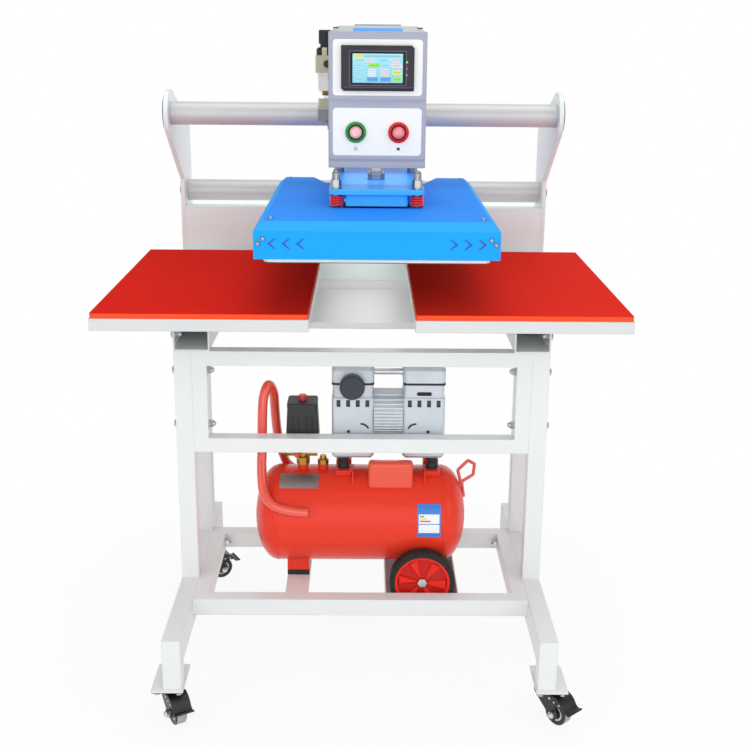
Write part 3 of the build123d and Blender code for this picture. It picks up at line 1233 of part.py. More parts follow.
def air_pipes():
    """Two pipes between the pumps, the discharge pipe, and brass valves on the tank's bosses."""
    x = (PUMP_LEFT_X + PUMP_HEAD_WIDTH, PUMP_RIGHT_X - PUMP_HEAD_WIDTH)
    front_pipe = rod_x(x, PUMP_Y - 26, GASKET_Z + 22, 13)
    rear_pipe = rod_x(x, PUMP_Y + 18, GASKET_Z + 30, 13)
    boss_top = TANK_Z + 110
    neck = hex_z(SWITCH_X, TANK_Y, (boss_top, boss_top + 16), 24)
    neck += rod_z(SWITCH_X, TANK_Y, (boss_top + 10, SWITCH_BOTTOM), 16)
    neck += rod_x((SWITCH_X - 46, SWITCH_X + 30), TANK_Y, boss_top + 24, 14)
    neck += hex_x((SWITCH_X - 46, SWITCH_X - 34), TANK_Y, boss_top + 24, 20)
    neck += rod_z(SWITCH_X - 28, TANK_Y, (boss_top + 24, boss_top + 46), 10)
    valve_x = SWITCH_X + 42
    valve = hex_z(valve_x, TANK_Y, (boss_top, boss_top + 10), 20)
    valve += rod_z(valve_x, TANK_Y, (boss_top + 8, boss_top + 18), 14)
    return group(front_pipe, rear_pipe, neck, valve)


def air_filter():
    """Round intake filter on the front of the left pump."""
    y = PUMP_Y - PUMP_DEPTH / 2
    x = PUMP_LEFT_X + 42
    body = rod_y(x, (y - 24, y - 4), FILTER_Z, 51)
    body = fillet(body.faces().sort_by(Axis.Y)[0].edges(), 5)
    return body + rod_y(x, (y - 6, y - 1), FILTER_Z, 24)


def pressure_switch():
    """Black ribbed switch housing that tapers upward."""
    low = Plane.XY.offset(SWITCH_BOTTOM) * Pos(SWITCH_X, TANK_Y) * RectangleRounded(68, 60, 5)
    shoulder = Plane.XY.offset(SWITCH_TOP - 10) * Pos(SWITCH_X, TANK_Y) * RectangleRounded(61, 56, 5)
    housing = loft([low, shoulder])
    cap = extrude(Plane.XY.offset(SWITCH_TOP - 10) * Pos(SWITCH_X, TANK_Y) * RectangleRounded(62, 58, 6), 10)
    cap = chamfer(cap.faces().sort_by(Axis.Z)[-1].edges(), 2)
    for rib_x in (-20, -9, 9, 20):
        housing += block((SWITCH_X + rib_x - 1, SWITCH_X + rib_x + 1), (TANK_Y - 31, TANK_Y - 26),
                         (SWITCH_BOTTOM, SWITCH_TOP - 26))
    housing += cap
    return housing - rod_z(SWITCH_X, TANK_Y, (SWITCH_TOP - 18, SWITCH_TOP + 1), 10.6)


def switch_knob():
    """Red knob, shown pushed down; it is pulled up to start the compressor."""
    low = SWITCH_TOP + RUNNING_GAP
    knob = rod_z(SWITCH_X, TANK_Y, (low, low + 11), 17)
    knob = chamfer(knob.faces().sort_by(Axis.Z)[-1].edges(), 1.5)
    return knob + rod_z(SWITCH_X, TANK_Y, (low - 13, low + 1), 10)


def capacitor_cover():
    """Rounded red sheet cover that follows the tank on its upper front."""
    cover = block((14, 106), (TANK_Y - 84, TANK_Y - 32), (TANK_Z + 48, TANK_Z + 148))
    cover = fillet(cover.edges().filter_by(Axis.X).group_by(Axis.Z)[-1], 18)
    cover = fillet(cover.edges().filter_by(Axis.Z), 6)
    return cover - rod_x((0, 120), TANK_Y, TANK_Z, TANK_DIA)


def axle_bolt(end):
    """Shoulder bolt that carries one wheel on the saddle, with its washer and hexagon head."""
    inner = AIR_WHEEL_OUTER_Y - AIR_WHEEL_WIDTH - 4
    outer = AIR_WHEEL_OUTER_Y - 7 + RUNNING_GAP
    bolt = rod_y(AIR_WHEEL_X, sorted((TANK_Y + end * (inner - 28), TANK_Y + end * outer)),
                 AIR_WHEEL_Z, AXLE_BOLT_DIA)
    head = Pos(AIR_WHEEL_X, 0, AIR_WHEEL_Z) * Rot(0, 0, 90) * hex_x(
        sorted((TANK_Y + end * outer, TANK_Y + end * (outer + 6))), 0, 0, 17)
    return bolt + head


def axle_bolts():
    return group(axle_bolt(-1), axle_bolt(1))


def compressor_wheel(end):
    """Rubber-tyred wheel with six raised vanes between the hub and the rim."""
    radius = AIR_WHEEL_DIA / 2
    half = AIR_WHEEL_WIDTH / 2
    bore = AXLE_BOLT_DIA / 2 + PIVOT_CLEARANCE
    hub = AIR_HUB_DIA / 2
    outline = Polyline([
        (bore, -half + 1), (11, -half + 1), (13, -half + 8), (hub - 7, -half + 8),
        (hub - 5, -half + 2), (hub, -half + 1), (radius - 4, -half), (radius, -half + 5),
        (radius, half - 5), (radius - 4, half), (hub, half - 1), (hub - 5, half - 2),
        (hub - 7, half - 8), (13, half - 8), (11, half - 7), (bore, half - 7),
    ], close=True)
    wheel = revolve(Plane.XZ * make_face(outline), Axis.Z)
    vane = make_face(Polyline([
        (12, -4), (hub - 8, -15), (hub - 8, 6), (12, 2),
    ], close=True))
    vane = extrude(Plane.XY.offset(half - 9) * vane, 5.5)
    vane = chamfer(vane.faces().sort_by(Axis.Z)[-1].edges().sort_by(Axis.Y)[-1:], 4)
    vanes = 6
    for turn in range(vanes):
        wheel += Rot(0, 0, turn * 360 / vanes) * vane
    middle = AIR_WHEEL_OUTER_Y - AIR_WHEEL_WIDTH / 2
    place = Pos(AIR_WHEEL_X, TANK_Y + end * middle, AIR_WHEEL_Z)
    return place * Rot(end * -90, 0, 0) * wheel


# Export

def stand_nodes():
    casters = [(side, row) for side in (-1, 1) for row in (0, 1)]
    nodes = {
        "side_frames": side_frames(),
        "top_front_frame": top_front_frame(),
        "shelf_frame": shelf_frame(),
        "rails": group(rail(-1), rail(1)),
        "base_pan": base_pan(),
        "back_beam": back_beam(),
        "side_plates": group(side_plate(-1), side_plate(1)),
        "guide_shafts": group(shaft(UPPER_SHAFT_Y, UPPER_SHAFT_Z),
                              shaft(LOWER_SHAFT_Y, LOWER_SHAFT_Z)),
        "shaft_end_discs": shaft_end_discs(),
        "stand_bolts": stand_bolts(),
        "trays": group(tray(-1), tray(1)),
        "mats": group(mat(-1), mat(1)),
        "caster_top_plates": group(*[caster_top_plate(side, row) for side, row in casters]),
    }
    sides = {-1: "left", 1: "right"}
    rows = {0: "front", 1: "rear"}
    for side, row in casters:
        name = f"{rows[row]}_{sides[side]}"
        nodes[f"caster_fork_{name}"] = caster_fork(side, row)
        nodes[f"caster_wheel_{name}"] = caster_wheel(side, row)
        nodes[f"caster_pedal_{name}"] = caster_pedal(side, row)
    return nodes


def head_nodes():
    return {
        "head_carriage": head_carriage(),
        "carriage_bushes": carriage_bushes(),
        "air_cylinder": air_cylinder(),
        "control_box": control_box(),
        "box_top_cover": box_top_cover(),
        "front_panels": front_panels(),
        "panel_computer": panel_computer(),
        "touch_screen": touch_screen(),
        "button_rings": button_rings(),
        "green_button": push_button(-1),
        "red_button": push_button(1),
        "regulator_body": regulator_body(),
        "filter_bowl": filter_bowl(),
        "regulator_knob": regulator_knob(),
    }


def press_nodes():
    return {
        "piston_rod": piston_rod(),
        "floating_plate": floating_plate(),
        "guide_studs": guide_studs(),
        "platen_springs": platen_springs(),
        "pressure_frame": pressure_frame(),
        "heat_platen": heat_platen(),
        "head_cover": head_cover(),
        "cover_screws": cover_screws(),
    }


def compressor_nodes():
    return {
        "air_tank": air_tank(),
        "tank_handle": tank_handle(),
        "rubber_feet": rubber_feet(),
        "pump_heads": pump_heads(),
        "pump_motor": pump_motor(),
        "air_pipes": air_pipes(),
        "air_filter": air_filter(),
        "pressure_switch": pressure_switch(),
        "switch_knob": switch_knob(),
        "capacitor_cover": capacitor_cover(),
        "axle_bolts": axle_bolts(),
        "compressor_wheel_front": compressor_wheel(-1),
        "compressor_wheel_rear": compressor_wheel(1),
    }


os.makedirs("parts", exist_ok=True)
for nodes in (stand_nodes(), head_nodes(), press_nodes(), compressor_nodes()):
    for node, shape in nodes.items():
        export_step(Pos(0, -ORIGIN_Y, 0) * shape, f"parts/{node}.step")
print(f"least gap between the turns of a spring: {spring_gap():.2f} mm")
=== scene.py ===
import bpy
import bmesh
import math
from mathutils import Matrix, Vector


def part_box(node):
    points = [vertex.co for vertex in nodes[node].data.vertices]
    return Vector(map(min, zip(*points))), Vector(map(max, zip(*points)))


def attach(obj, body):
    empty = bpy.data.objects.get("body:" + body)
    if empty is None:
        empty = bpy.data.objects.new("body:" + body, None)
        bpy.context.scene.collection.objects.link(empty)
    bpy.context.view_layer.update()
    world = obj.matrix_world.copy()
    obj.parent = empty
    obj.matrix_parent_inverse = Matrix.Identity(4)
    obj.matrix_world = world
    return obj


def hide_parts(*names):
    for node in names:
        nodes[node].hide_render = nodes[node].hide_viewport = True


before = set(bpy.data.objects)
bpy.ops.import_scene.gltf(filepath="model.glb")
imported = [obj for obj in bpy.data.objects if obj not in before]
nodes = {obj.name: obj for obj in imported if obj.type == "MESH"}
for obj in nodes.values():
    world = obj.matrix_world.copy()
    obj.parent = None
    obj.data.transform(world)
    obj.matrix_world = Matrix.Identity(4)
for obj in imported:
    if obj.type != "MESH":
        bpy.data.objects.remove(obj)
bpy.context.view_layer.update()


# Camera and studio. A plain white room: the floor and the world look white, and shiny parts see
# bands of light and shade as from studio panels. Soft lamps light the machine at a level that
# keeps its colours as written. Depths are measured from the middle of the two mats.

def middle(node):
    """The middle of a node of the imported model, as x, y and z."""
    low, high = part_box(node)
    return [(near + far) / 2 for near, far in zip(low, high)]


table_y = middle("mats")[1]
head_x = middle("control_box")[0]

picture_width, focal_length, picture_drop = 750, 1106.6, 45.7  # pixels
eye = (0.006, table_y - 2.2621, 1.3061)
look_right, look_down, lean = 0.516, 15.334, 0.511  # degrees
camera_data = bpy.data.cameras.new("camera")
camera_data.sensor_width = 36
camera_data.lens = focal_length * camera_data.sensor_width / picture_width
camera_data.shift_y = -picture_drop / picture_width
camera = bpy.data.objects.new("camera", camera_data)
bpy.context.scene.collection.objects.link(camera)
turn = Matrix.Rotation(math.radians(-look_right), 4, "Z")
tilt = Matrix.Rotation(math.radians(90 - look_down), 4, "X")
roll = Matrix.Rotation(math.radians(lean), 4, "Z")
camera.matrix_world = Matrix.Translation(eye) @ turn @ tilt @ roll
bpy.context.scene.camera = camera
bpy.context.scene.view_settings.view_transform = "Standard"


class Wire:
    """One output of a shader node. Arithmetic on wires adds the Math nodes that it needs."""

    def __init__(self, tree, socket=None):
        self.tree = tree
        self.socket = socket

    def node(self, kind, settings={}, values={}, output=0):
        """Adds a node: its settings first, then a value or a wire for each named socket."""
        made = self.tree.nodes.new(kind)
        for setting, value in settings.items():
            setattr(made, setting, value)
        for name, value in values.items():
            if isinstance(value, Wire):
                self.tree.links.new(value.socket, made.inputs[name])
            else:
                made.inputs[name].default_value = value
        return Wire(self.tree, made.outputs[output]) if made.outputs else None

    def math(self, operation, *values):
        return self.node("ShaderNodeMath", {"operation": operation}, dict(enumerate(values)))

    def __add__(self, other):
        return self.math("ADD", self, other)

    def __sub__(self, other):
        return self.math("SUBTRACT", self, other)

    def __rsub__(self, other):
        return self.math("SUBTRACT", other, self)

    def __mul__(self, other):
        return self.math("MULTIPLY", self, other)

    def __pow__(self, other):
        return self.math("POWER", self, other)

    def __gt__(self, other):
        return self.math("GREATER_THAN", self, other)

    def __lt__(self, other):
        return self.math("LESS_THAN", self, other)

    def __abs__(self):
        return self.math("ABSOLUTE", self)

    __radd__ = __add__
    __rmul__ = __mul__

    def between(self, low, high):
        """1 where the value lies between the two limits."""
        return (self > low) * (self < high)

    def axes(self):
        """The three parts of a vector."""
        split = self.node("ShaderNodeSeparateXYZ", {}, {"Vector": self})
        outputs = split.socket.node.outputs
        return [Wire(self.tree, outputs[axis]) for axis in range(3)]


def distance(u, v):
    """How far a point is from an axis, from its two distances to it."""
    return (u * u + v * v) ** 0.5


def rgb(code):
    """A colour written as the screen shows it, as the linear values that Blender keeps."""
    parts = [int(code[i:i + 2], 16) / 255 for i in (0, 2, 4)]
    parts = [p / 12.92 if p <= 0.04045 else ((p + 0.055) / 1.055) ** 2.4 for p in parts]
    return (*parts, 1.0)


def white_to_camera(name, colour, near, far):
    """Paint that looks white to the camera and in reflections, and takes a shadow close by."""
    material = bpy.data.materials.new(name)
    material.use_nodes = True
    tree = material.node_tree
    tree.nodes.clear()
    start = Wire(tree)
    path = start.node("ShaderNodeLightPath")
    outputs = path.socket.node.outputs
    seen = Wire(tree, outputs["Is Camera Ray"]) + Wire(tree, outputs["Is Glossy Ray"])
    seen = seen + Wire(tree, outputs["Is Transmission Ray"])
    x, y, _ = start.node("ShaderNodeTexCoord", {}, {}, output="Object").axes()
    shadow_edge, white_edge = 0.5, 1.3
    shown = start.node("ShaderNodeMapRange", {"clamp": True, "interpolation_type": "SMOOTHSTEP"}, {
        "Value": distance(x, y), "From Min": shadow_edge, "From Max": white_edge,
        "To Min": near, "To Max": far})
    paint = start.node("ShaderNodeBsdfDiffuse", {}, {"Color": colour})
    glow = start.node("ShaderNodeEmission", {}, {"Color": (1, 1, 1, 1), "Strength": 1.0})
    mixed = start.node("ShaderNodeMixShader", {}, {0: seen.math("MINIMUM", seen, 1) * shown,
                                                   1: paint, 2: glow})
    start.node("ShaderNodeOutputMaterial", {}, {"Surface": mixed})
    return material


floor_reach, floor_z = 9, -0.0005
floor_corners = [(-1, -1), (1, -1), (1, 1), (-1, 1)]
floor_mesh = bpy.data.meshes.new("floor")
floor_mesh.from_pydata([(x * floor_reach, y * floor_reach, floor_z) for x, y in floor_corners],
                       [], [(0, 1, 2, 3)])
floor = bpy.data.objects.new("floor", floor_mesh)
bpy.context.scene.collection.objects.link(floor)
floor.data.materials.append(white_to_camera("floor_white", (0.93, 0.93, 0.93, 1), 0.88, 1.0))

world = bpy.data.worlds.new("studio")
bpy.context.scene.world = world
world.use_nodes = True
world.node_tree.nodes.clear()
air = Wire(world.node_tree)
rays = air.node("ShaderNodeLightPath").socket.node.outputs
seen, through, mirror = (Wire(world.node_tree, rays[f"Is {kind} Ray"])
                         for kind in ("Camera", "Transmission", "Glossy"))
direct = seen + through
elevation = air.node("ShaderNodeTexCoord", {}, {}, output="Generated").axes()[2]
bands = air.math("SINE", elevation * 7.5 + 1)
fill, band_depth, band_shade = 0.62, 0.30, 0.12
strength = fill + direct.math("MINIMUM", direct, 1) * (1 - fill)
strength = strength + mirror * (bands * band_depth - band_shade)
sky = air.node("ShaderNodeBackground", {}, {"Color": (1, 1, 1, 1), "Strength": strength})
air.node("ShaderNodeOutputWorld", {}, {"Surface": sky})


def soft_lamp(name, place, aim, size, power):
    """A soft lamp of the given width and height that points at a spot on the machine."""
    data = bpy.data.lights.new(name, "AREA")
    data.shape = "RECTANGLE"
    data.size, data.size_y = size
    data.energy = power
    lamp = bpy.data.objects.new(name, data)
    bpy.context.scene.collection.objects.link(lamp)
    lamp.location = place
    away = Vector(aim) - Vector(place)
    lamp.rotation_euler = away.to_track_quat("-Z", "Y").to_euler()


soft_lamp("front_lamp", (0.0, -3.6, 1.5), (0, 0, 0.75), (2.6, 2.6), 32)
soft_lamp("left_lamp", (-2.8, -2.4, 2.8), (0, 0, 0.8), (2.4, 2.4), 26)
soft_lamp("right_lamp", (3.0, -2.2, 2.2), (0, 0, 0.7), (2.4, 2.4), 26)
soft_lamp("top_lamp", (0.2, 0.2, 3.8), (0, 0, 0.8), (2.2, 2.2), 26)
soft_lamp("back_lamp", (0.5, 3.2, 1.6), (0, 0, 0.9), (2.6, 2.6), 18)
pan_y = table_y + 0.08
soft_lamp("table_lamp", (0, pan_y, 0.788), (0, pan_y, 0.7), (0.15, 0.46), 0.24)
soft_lamp("plate_lamp", (head_x, table_y, 1.037), (head_x, table_y + 0.001, 0.99), (0.14, 0.17),
          0.09)


# Stand. Two welded side frames of 35 mm square steel tube with a foot, two legs and caster
# plates, and two rectangles of 30 mm tube between them. All are powder coated white.

class Finish:
    """A new finish with the object's own coordinates, closed by one call with its values."""

    def __init__(self, name):
        self.material = bpy.data.materials.new(name)
        self.material.use_nodes = True
        tree = self.material.node_tree
        tree.nodes.clear()
        self.start = Wire(tree)
        self.place = self.start.node("ShaderNodeTexCoord", {}, {}, output="Object")
        self.x, self.y, self.z = self.place.axes()

    def noise(self, scale, detail=3.0, stretch=(1, 1, 1)):
        """Uneven values from 0 to 1, so many lumps to the metre."""
        spread = self.start.node("ShaderNodeMapping", {}, {"Vector": self.place, "Scale": stretch})
        return self.start.node("ShaderNodeTexNoise", {},
                               {"Vector": spread, "Scale": scale, "Detail": detail})

    def mix(self, mask, first, second):
        """The first colour where the mask is 0, and the second where it is 1."""
        return self.start.node("ShaderNodeMix", {"data_type": "RGBA"},
                               {0: mask, 6: first, 7: second}, output=2)

    def edge(self, radius):
        """The surface's direction with its sharp edges rounded."""
        return self.start.node("ShaderNodeBevel", {"samples": 4}, {"Radius": radius})

    def close(self, colour, rough, metal=0.0, relief=None, depth=0.0001, radius=0.0008, **fixed):
        """Ends the finish. Edges look rounded to the radius; without one the faces stay flat."""
        values = {"Base Color": colour, "Roughness": rough, "Metallic": metal}
        normal = self.edge(radius) if radius else self.start.node(
            "ShaderNodeNewGeometry", output="True Normal")
        if relief is not None:
            normal = self.start.node("ShaderNodeBump", {}, {
                "Height": relief, "Distance": depth, "Strength": 1.0, "Normal": normal})
        values["Normal"] = normal
        for name, value in fixed.items():
            values[name.replace("_", " ")] = value
        surface = self.start.node("ShaderNodeBsdfPrincipled", {}, values)
        self.start.node("ShaderNodeOutputMaterial", {}, {"Surface": surface})
        return self.material


def dress(material, *names):
    """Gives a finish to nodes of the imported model."""
    for name in names:
        slots = nodes[name].data.materials
        slots.clear()
        slots.append(material)


def powder_coat(name, colour, dusk, rough=0.34, specular=0.5):
    """Powder coat: a slight orange peel, and a broad unevenness in its shade and shine."""
    finish = Finish(name)
    base = finish.mix(finish.noise(2.3, 2.0) * 0.5, colour, dusk)
    return finish.close(base, rough + 0.10 * finish.noise(9, 3.0), relief=finish.noise(420, 2.0),
                        depth=0.00006, radius=0.0022, Specular_IOR_Level=specular)


stand_white = powder_coat("stand_white", rgb("E9ECEC"), rgb("DADDDD"))
dress(stand_white, "side_frames", "top_front_frame", "rails")
dress(powder_coat("shelf_white", rgb("E9ECEC"), rgb("D5D9D9")), "shelf_frame")


# Bolts of the stand. Zinc-plated hexagon bolts go right through the tubes and end in bright
# acorn nuts on washers: two at each end of the top frame and in each rail, one at each rear
# corner of the shelf. The shoulder bolts of the compressor's wheels are plated alike.

def bright_metal(name, colour, rough, scale=60, metal=1.0):
    """Plated or ground metal: a fine mottle in its shine and hardly any in its colour."""
    finish = Finish(name)
    mottle = finish.noise(scale, 4.0)
    base = finish.mix(mottle * 0.35, colour, tuple(0.72 * part for part in colour[:3]) + (1,))
    return finish.close(base, rough + 0.14 * mottle, metal, relief=finish.noise(900, 2.0),
                        depth=0.00002, radius=0.0005)


bright_zinc = bright_metal("bright_zinc", rgb("C9CCCF"), 0.16)
dress(bright_zinc, "stand_bolts", "axle_bolts")


# Casters. Each has a pressed plate with a riveted ball race, a fork that swivels under it, a
# brake pedal on a pin, and a black moulded wheel with a grey-beige tread.

def black_enamel(name, colour, rough):
    """Stoved black paint on pressed steel, a little dusty on its broad faces."""
    finish = Finish(name)
    dust = finish.noise(55, 4.0) ** 2.0
    base = finish.mix(dust * 0.30, colour, rgb("4A4A4C"))
    return finish.close(base, rough + 0.12 * finish.noise(140, 3.0), relief=finish.noise(500, 2.0),
                        depth=0.00005, radius=0.0008)


caster_black = black_enamel("caster_black", rgb("17171A"), 0.30)
column_x, wheelbase_y, half_wheelbase = 0.3675, middle("caster_top_plates")[1], 0.277
front_y, rear_y = wheelbase_y - half_wheelbase, wheelbase_y + half_wheelbase
corners = {"front_left": (-column_x, front_y, -60), "front_right": (column_x, front_y, -50),
           "rear_left": (-column_x, rear_y, 30), "rear_right": (column_x, rear_y, 30)}
axle_along, axle_height, leg_outside = 0.028, 0.025, 0.0165
pin_along, pin_height = 0.020, 0.057


def black_with_zinc(finish, zinc):
    """Black paint, with bright zinc where the mask is 1, as on bolt heads, nuts and rivets."""
    dust = finish.noise(55, 4.0) ** 2.0
    mottle = finish.noise(180, 3.0)
    black = finish.mix(dust * 0.30, rgb("17171A"), rgb("4A4A4C"))
    bright = finish.mix(mottle * 0.4, rgb("D6D8DC"), rgb("9DA1A8"))
    rough = 0.30 + 0.12 * finish.noise(140, 3.0)
    return finish.close(finish.mix(zinc, black, bright), rough - zinc * 0.16, zinc * 0.95,
                        relief=finish.noise(500, 2.0), depth=0.00004, radius=0.0007)


def from_swivel(finish, corner):
    """How far a point is from a caster's swivel axis: along the way it trails, and across."""
    swivel_x, swivel_y, angle = corners[corner]
    ahead_x, ahead_y = math.cos(math.radians(angle)), math.sin(math.radians(angle))
    along = (finish.x - swivel_x) * ahead_x + (finish.y - swivel_y) * ahead_y
    across = (finish.y - swivel_y) * ahead_x - (finish.x - swivel_x) * ahead_y
    return along, across


def plate_black(name):
    """The plate is black; the four bolt heads under its corners are bright."""
    corner_x, corner_y, heads_top = 0.0148, 0.0292, 0.0754
    finish = Finish(name)
    beside = abs(abs(finish.x) - column_x)
    before = abs(abs(finish.y - wheelbase_y) - half_wheelbase)
    bolt_heads = (beside > corner_x) * (before > corner_y) * (finish.z < heads_top)
    return black_with_zinc(finish, bolt_heads)


dress(plate_black("caster_plate_black"), "caster_top_plates")


def moulded_wheel(name, corner):
    """Grey-beige tread between black cheeks, which have an ivory ring round the hub."""
    finish = Finish(name)
    along, across = from_swivel(finish, corner)
    reach = distance(along - axle_along, finish.z - axle_height)
    ring_inner, ring_outer, tread_radius, half_tread = 0.0128, 0.0163, 0.0225, 0.0088
    core = finish.mix(reach.between(ring_inner, ring_outer), rgb("1B1A1C"), rgb("E6E3DB"))
    scuff = finish.noise(160, 4.0)
    tread = finish.mix(scuff * 0.5, rgb("B9B4A8"), rgb("8C877C"))
    rolling = (reach > tread_radius) * (abs(across) < half_tread)
    return finish.close(finish.mix(rolling, core, tread), 0.30 + rolling * 0.2 + 0.12 * scuff,
                        relief=finish.noise(700, 2.0), depth=0.00008, radius=0.0008)


def fork_black(name, corner):
    """The fork is black; its axle's nuts and the ends of the pedal's pin are bright."""
    finish = Finish(name)
    along, across = from_swivel(finish, corner)
    paint, nut_radius, pin_radius = 0.0002, 0.009, 0.004
    outside = abs(across) > leg_outside + paint
    nuts = outside * (distance(along - axle_along, finish.z - axle_height) < nut_radius)
    pins = outside * (distance(along - pin_along, finish.z - pin_height) < pin_radius)
    return black_with_zinc(finish, nuts + pins)


def add_piece(name, mesh, material, body):
    """Puts a finished mesh in the scene as a piece that rides on a body of the machine."""
    piece = bpy.data.objects.new(name, mesh)
    bpy.context.scene.collection.objects.link(piece)
    piece.data.materials.append(material)
    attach(piece, body)
    return piece


def rivet(name, corner, along, across, height):
    """A bright domed rivet head on the outside of a brake pedal's ear."""
    rivet_radius, flattening = 0.0022, 0.6
    swivel_x, swivel_y, angle = corners[corner]
    swivelled = Matrix.Rotation(math.radians(angle), 4, "Z")
    place = Matrix.Translation((swivel_x, swivel_y, 0)) @ swivelled
    outward = Matrix.Rotation(math.radians(90 if across < 0 else -90), 4, "X")
    head = bmesh.new()
    bmesh.ops.create_uvsphere(head, u_segments=20, v_segments=12, radius=rivet_radius)
    below = [vertex for vertex in head.verts if vertex.co.z < -0.0001]
    bmesh.ops.delete(head, geom=below, context="VERTS")
    for vertex in head.verts:
        vertex.co.z *= flattening
    spot = Matrix.Translation((along, across, height))
    bmesh.ops.transform(head, matrix=place @ spot @ outward, verts=head.verts)
    for face in head.faces:
        face.smooth = True
    mesh = bpy.data.meshes.new(name)
    head.to_mesh(mesh)
    head.free()
    add_piece(name, mesh, bright_zinc, f"pedal_{corner}")


ear_side = 0.0188
for corner in corners:
    dress(moulded_wheel(f"wheel_{corner}_moulding", corner), f"caster_wheel_{corner}")
    dress(fork_black(f"fork_{corner}_black", corner), f"caster_fork_{corner}")
    dress(caster_black, f"caster_pedal_{corner}")
    for side, face in (("left", -ear_side), ("right", ear_side)):
        rivet(f"rivet_{corner}_{side}_high", corner, 0.031, face, 0.0535)
        rivet(f"rivet_{corner}_{side}_low", corner, 0.044, face, 0.0525)


# Rear pan and beam. A pan of folded sheet steel lies between the rails, and a folded channel
# across the back of it carries the two side plates. Both are coated white like the stand.

dress(powder_coat("pan_coat", rgb("EFF1EF"), rgb("E2E4E2"), 0.42, 0.2), "base_pan")
# The beam's white is tinted blue-green as painted light, cancelling the red light that the mats
# bounce onto it.
dress(powder_coat("beam_coat", rgb("EAF6F4"), rgb("DCE8E6"), 0.42), "back_beam")


# Trays and mats. Each tray is a folded sheet lid on a rail; the mat is 10 mm silicone foam with
# a smooth red skin and paler cut sides, laid loose on the tray.

dress(powder_coat("tray_coat", rgb("D8DADB"), rgb("C9CBCD")), "trays")


def silicone_foam(name):
    """Red silicone with a broad mottle and open cells on its cut sides, deeper on the left."""
    finish = Finish(name)
    cells = finish.noise(900, 3.0)
    press = finish.noise(7, 4.0, (1, 2.2, 1))
    skin = finish.mix(press * 0.5, rgb("E42C1C"), rgb("D2201A"))
    skin = finish.mix((finish.x < 0) * 0.6, skin, rgb("D01A10"))
    cut = finish.mix(cells * 0.4, rgb("FF5B33"), rgb("E8401F"))
    side = finish.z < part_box("mats")[1][2] - 0.0006
    return finish.close(finish.mix(side, skin, cut), 0.80 + 0.10 * finish.noise(30, 3.0),
                        relief=cells, depth=0.00010, radius=0.0010, Specular_IOR_Level=0.03)


dress(silicone_foam("silicone_foam"), "mats")


# Guide. Two 10 mm steel side plates stand on the beam's ends and hold two 50 mm hard-chromed
# shafts by long screws; a black disc covers each end of the upper one.

dress(powder_coat("side_plate_coat", rgb("ECF2F1"), rgb("DBE2E1"), 0.38), "side_plates")


def ground_chrome(name, colour):
    """Centreless-ground shaft: fine rings round it, seen as a streak in its shine."""
    finish = Finish(name)
    rings = finish.noise(1.0, 2.0, (2600, 6, 6))
    cloud = finish.noise(14, 3.0, (1, 3, 3))
    base = finish.mix(cloud * 0.35, colour, rgb("B4B6B8"))
    return finish.close(base, 0.32 + 0.12 * rings, 0.12, relief=rings, depth=0.00001,
                        radius=0.0006)


dress(ground_chrome("ground_chrome", rgb("D6D6D4")), "guide_shafts")
dress(black_enamel("disc_black", rgb("202226"), 0.38), "shaft_end_discs")


# Carriage. A welded frame of two cheeks, two bearing tubes with bronze bushes, an arm that the
# air cylinder is bolted on, and a bracket on the left for the filter regulator.

def carriage_coat(name):
    """Light grey paint; the bracket out on the left is darker, with cream on its top."""
    bracket_right, bracket_cream = -0.0575, 1.136
    finish = Finish(name)
    base = finish.mix(finish.noise(2.3, 2.0) * 0.5, rgb("D4D8DA"), rgb("B9BEC2"))
    bracket = finish.mix(finish.z > bracket_cream, rgb("8C8C8E"), rgb("B9BAA2"))
    base = finish.mix(finish.x < bracket_right, base, bracket)
    return finish.close(base, 0.40 + 0.10 * finish.noise(9, 3.0), relief=finish.noise(420, 2.0),
                        depth=0.00006, radius=0.0022)


dress(carriage_coat("carriage_coat"), "head_carriage")
dress(bright_metal("bush_bronze", rgb("A98A4E"), 0.34), "carriage_bushes")


def anodised(name, colour, rough):
    """Extruded and anodised aluminium, with faint die lines along its height."""
    finish = Finish(name)
    lines = finish.noise(1.0, 2.0, (900, 900, 12))
    base = finish.mix(lines * 0.3, colour, rgb("8F9297"))
    return finish.close(base, rough + 0.12 * lines, 0.85, relief=lines, depth=0.00002,
                        radius=0.0010)


dress(anodised("cylinder_anodised", rgb("B9BCC0"), 0.32), "air_cylinder")


# Control box. A folded steel shell in lilac grey, with a pale grey lid whose middle is raised
# and blue. Two white acrylic panels are let into its front.

dress(powder_coat("box_coat", rgb("ABADBE"), rgb("9C9EB0"), 0.40), "control_box")


def lid_coat(name):
    """Pale grey paint round a blue raised field, with dark screws at the corners."""
    field_x, field_y, slope_x, screw_x, screw_y = 0.0455, 0.0612, 0.0465, 0.0740, 0.083
    slope_front, slope_low, slope_high, screw_low = table_y - 0.0945, 1.2960, 1.3020, 1.3015
    finish = Finish(name)
    across = abs(finish.x - head_x)
    along = abs(finish.y - middle("control_box")[1])
    lid_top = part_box("box_top_cover")[1][2]
    raised = (finish.z > lid_top - 0.0005) * (across < field_x) * (along < field_y)
    slope = finish.z.between(slope_low, slope_high) * (finish.y < slope_front)
    slope = slope * (across < slope_x)
    screw = (across > screw_x) * (along > screw_y) * (finish.z > screw_low)
    base = finish.mix(finish.noise(6, 2.0) * 0.4, rgb("B6BBBC"), rgb("A8AEAF"))
    base = finish.mix(raised + slope, base, rgb("3F96E6"))
    base = finish.mix(screw, base, rgb("2B2B2E"))
    return finish.close(base, 0.38 + 0.08 * finish.noise(40, 2.0), relief=finish.noise(400, 2.0),
                        depth=0.00005, radius=0.0012)


dress(lid_coat("lid_coat"), "box_top_cover")


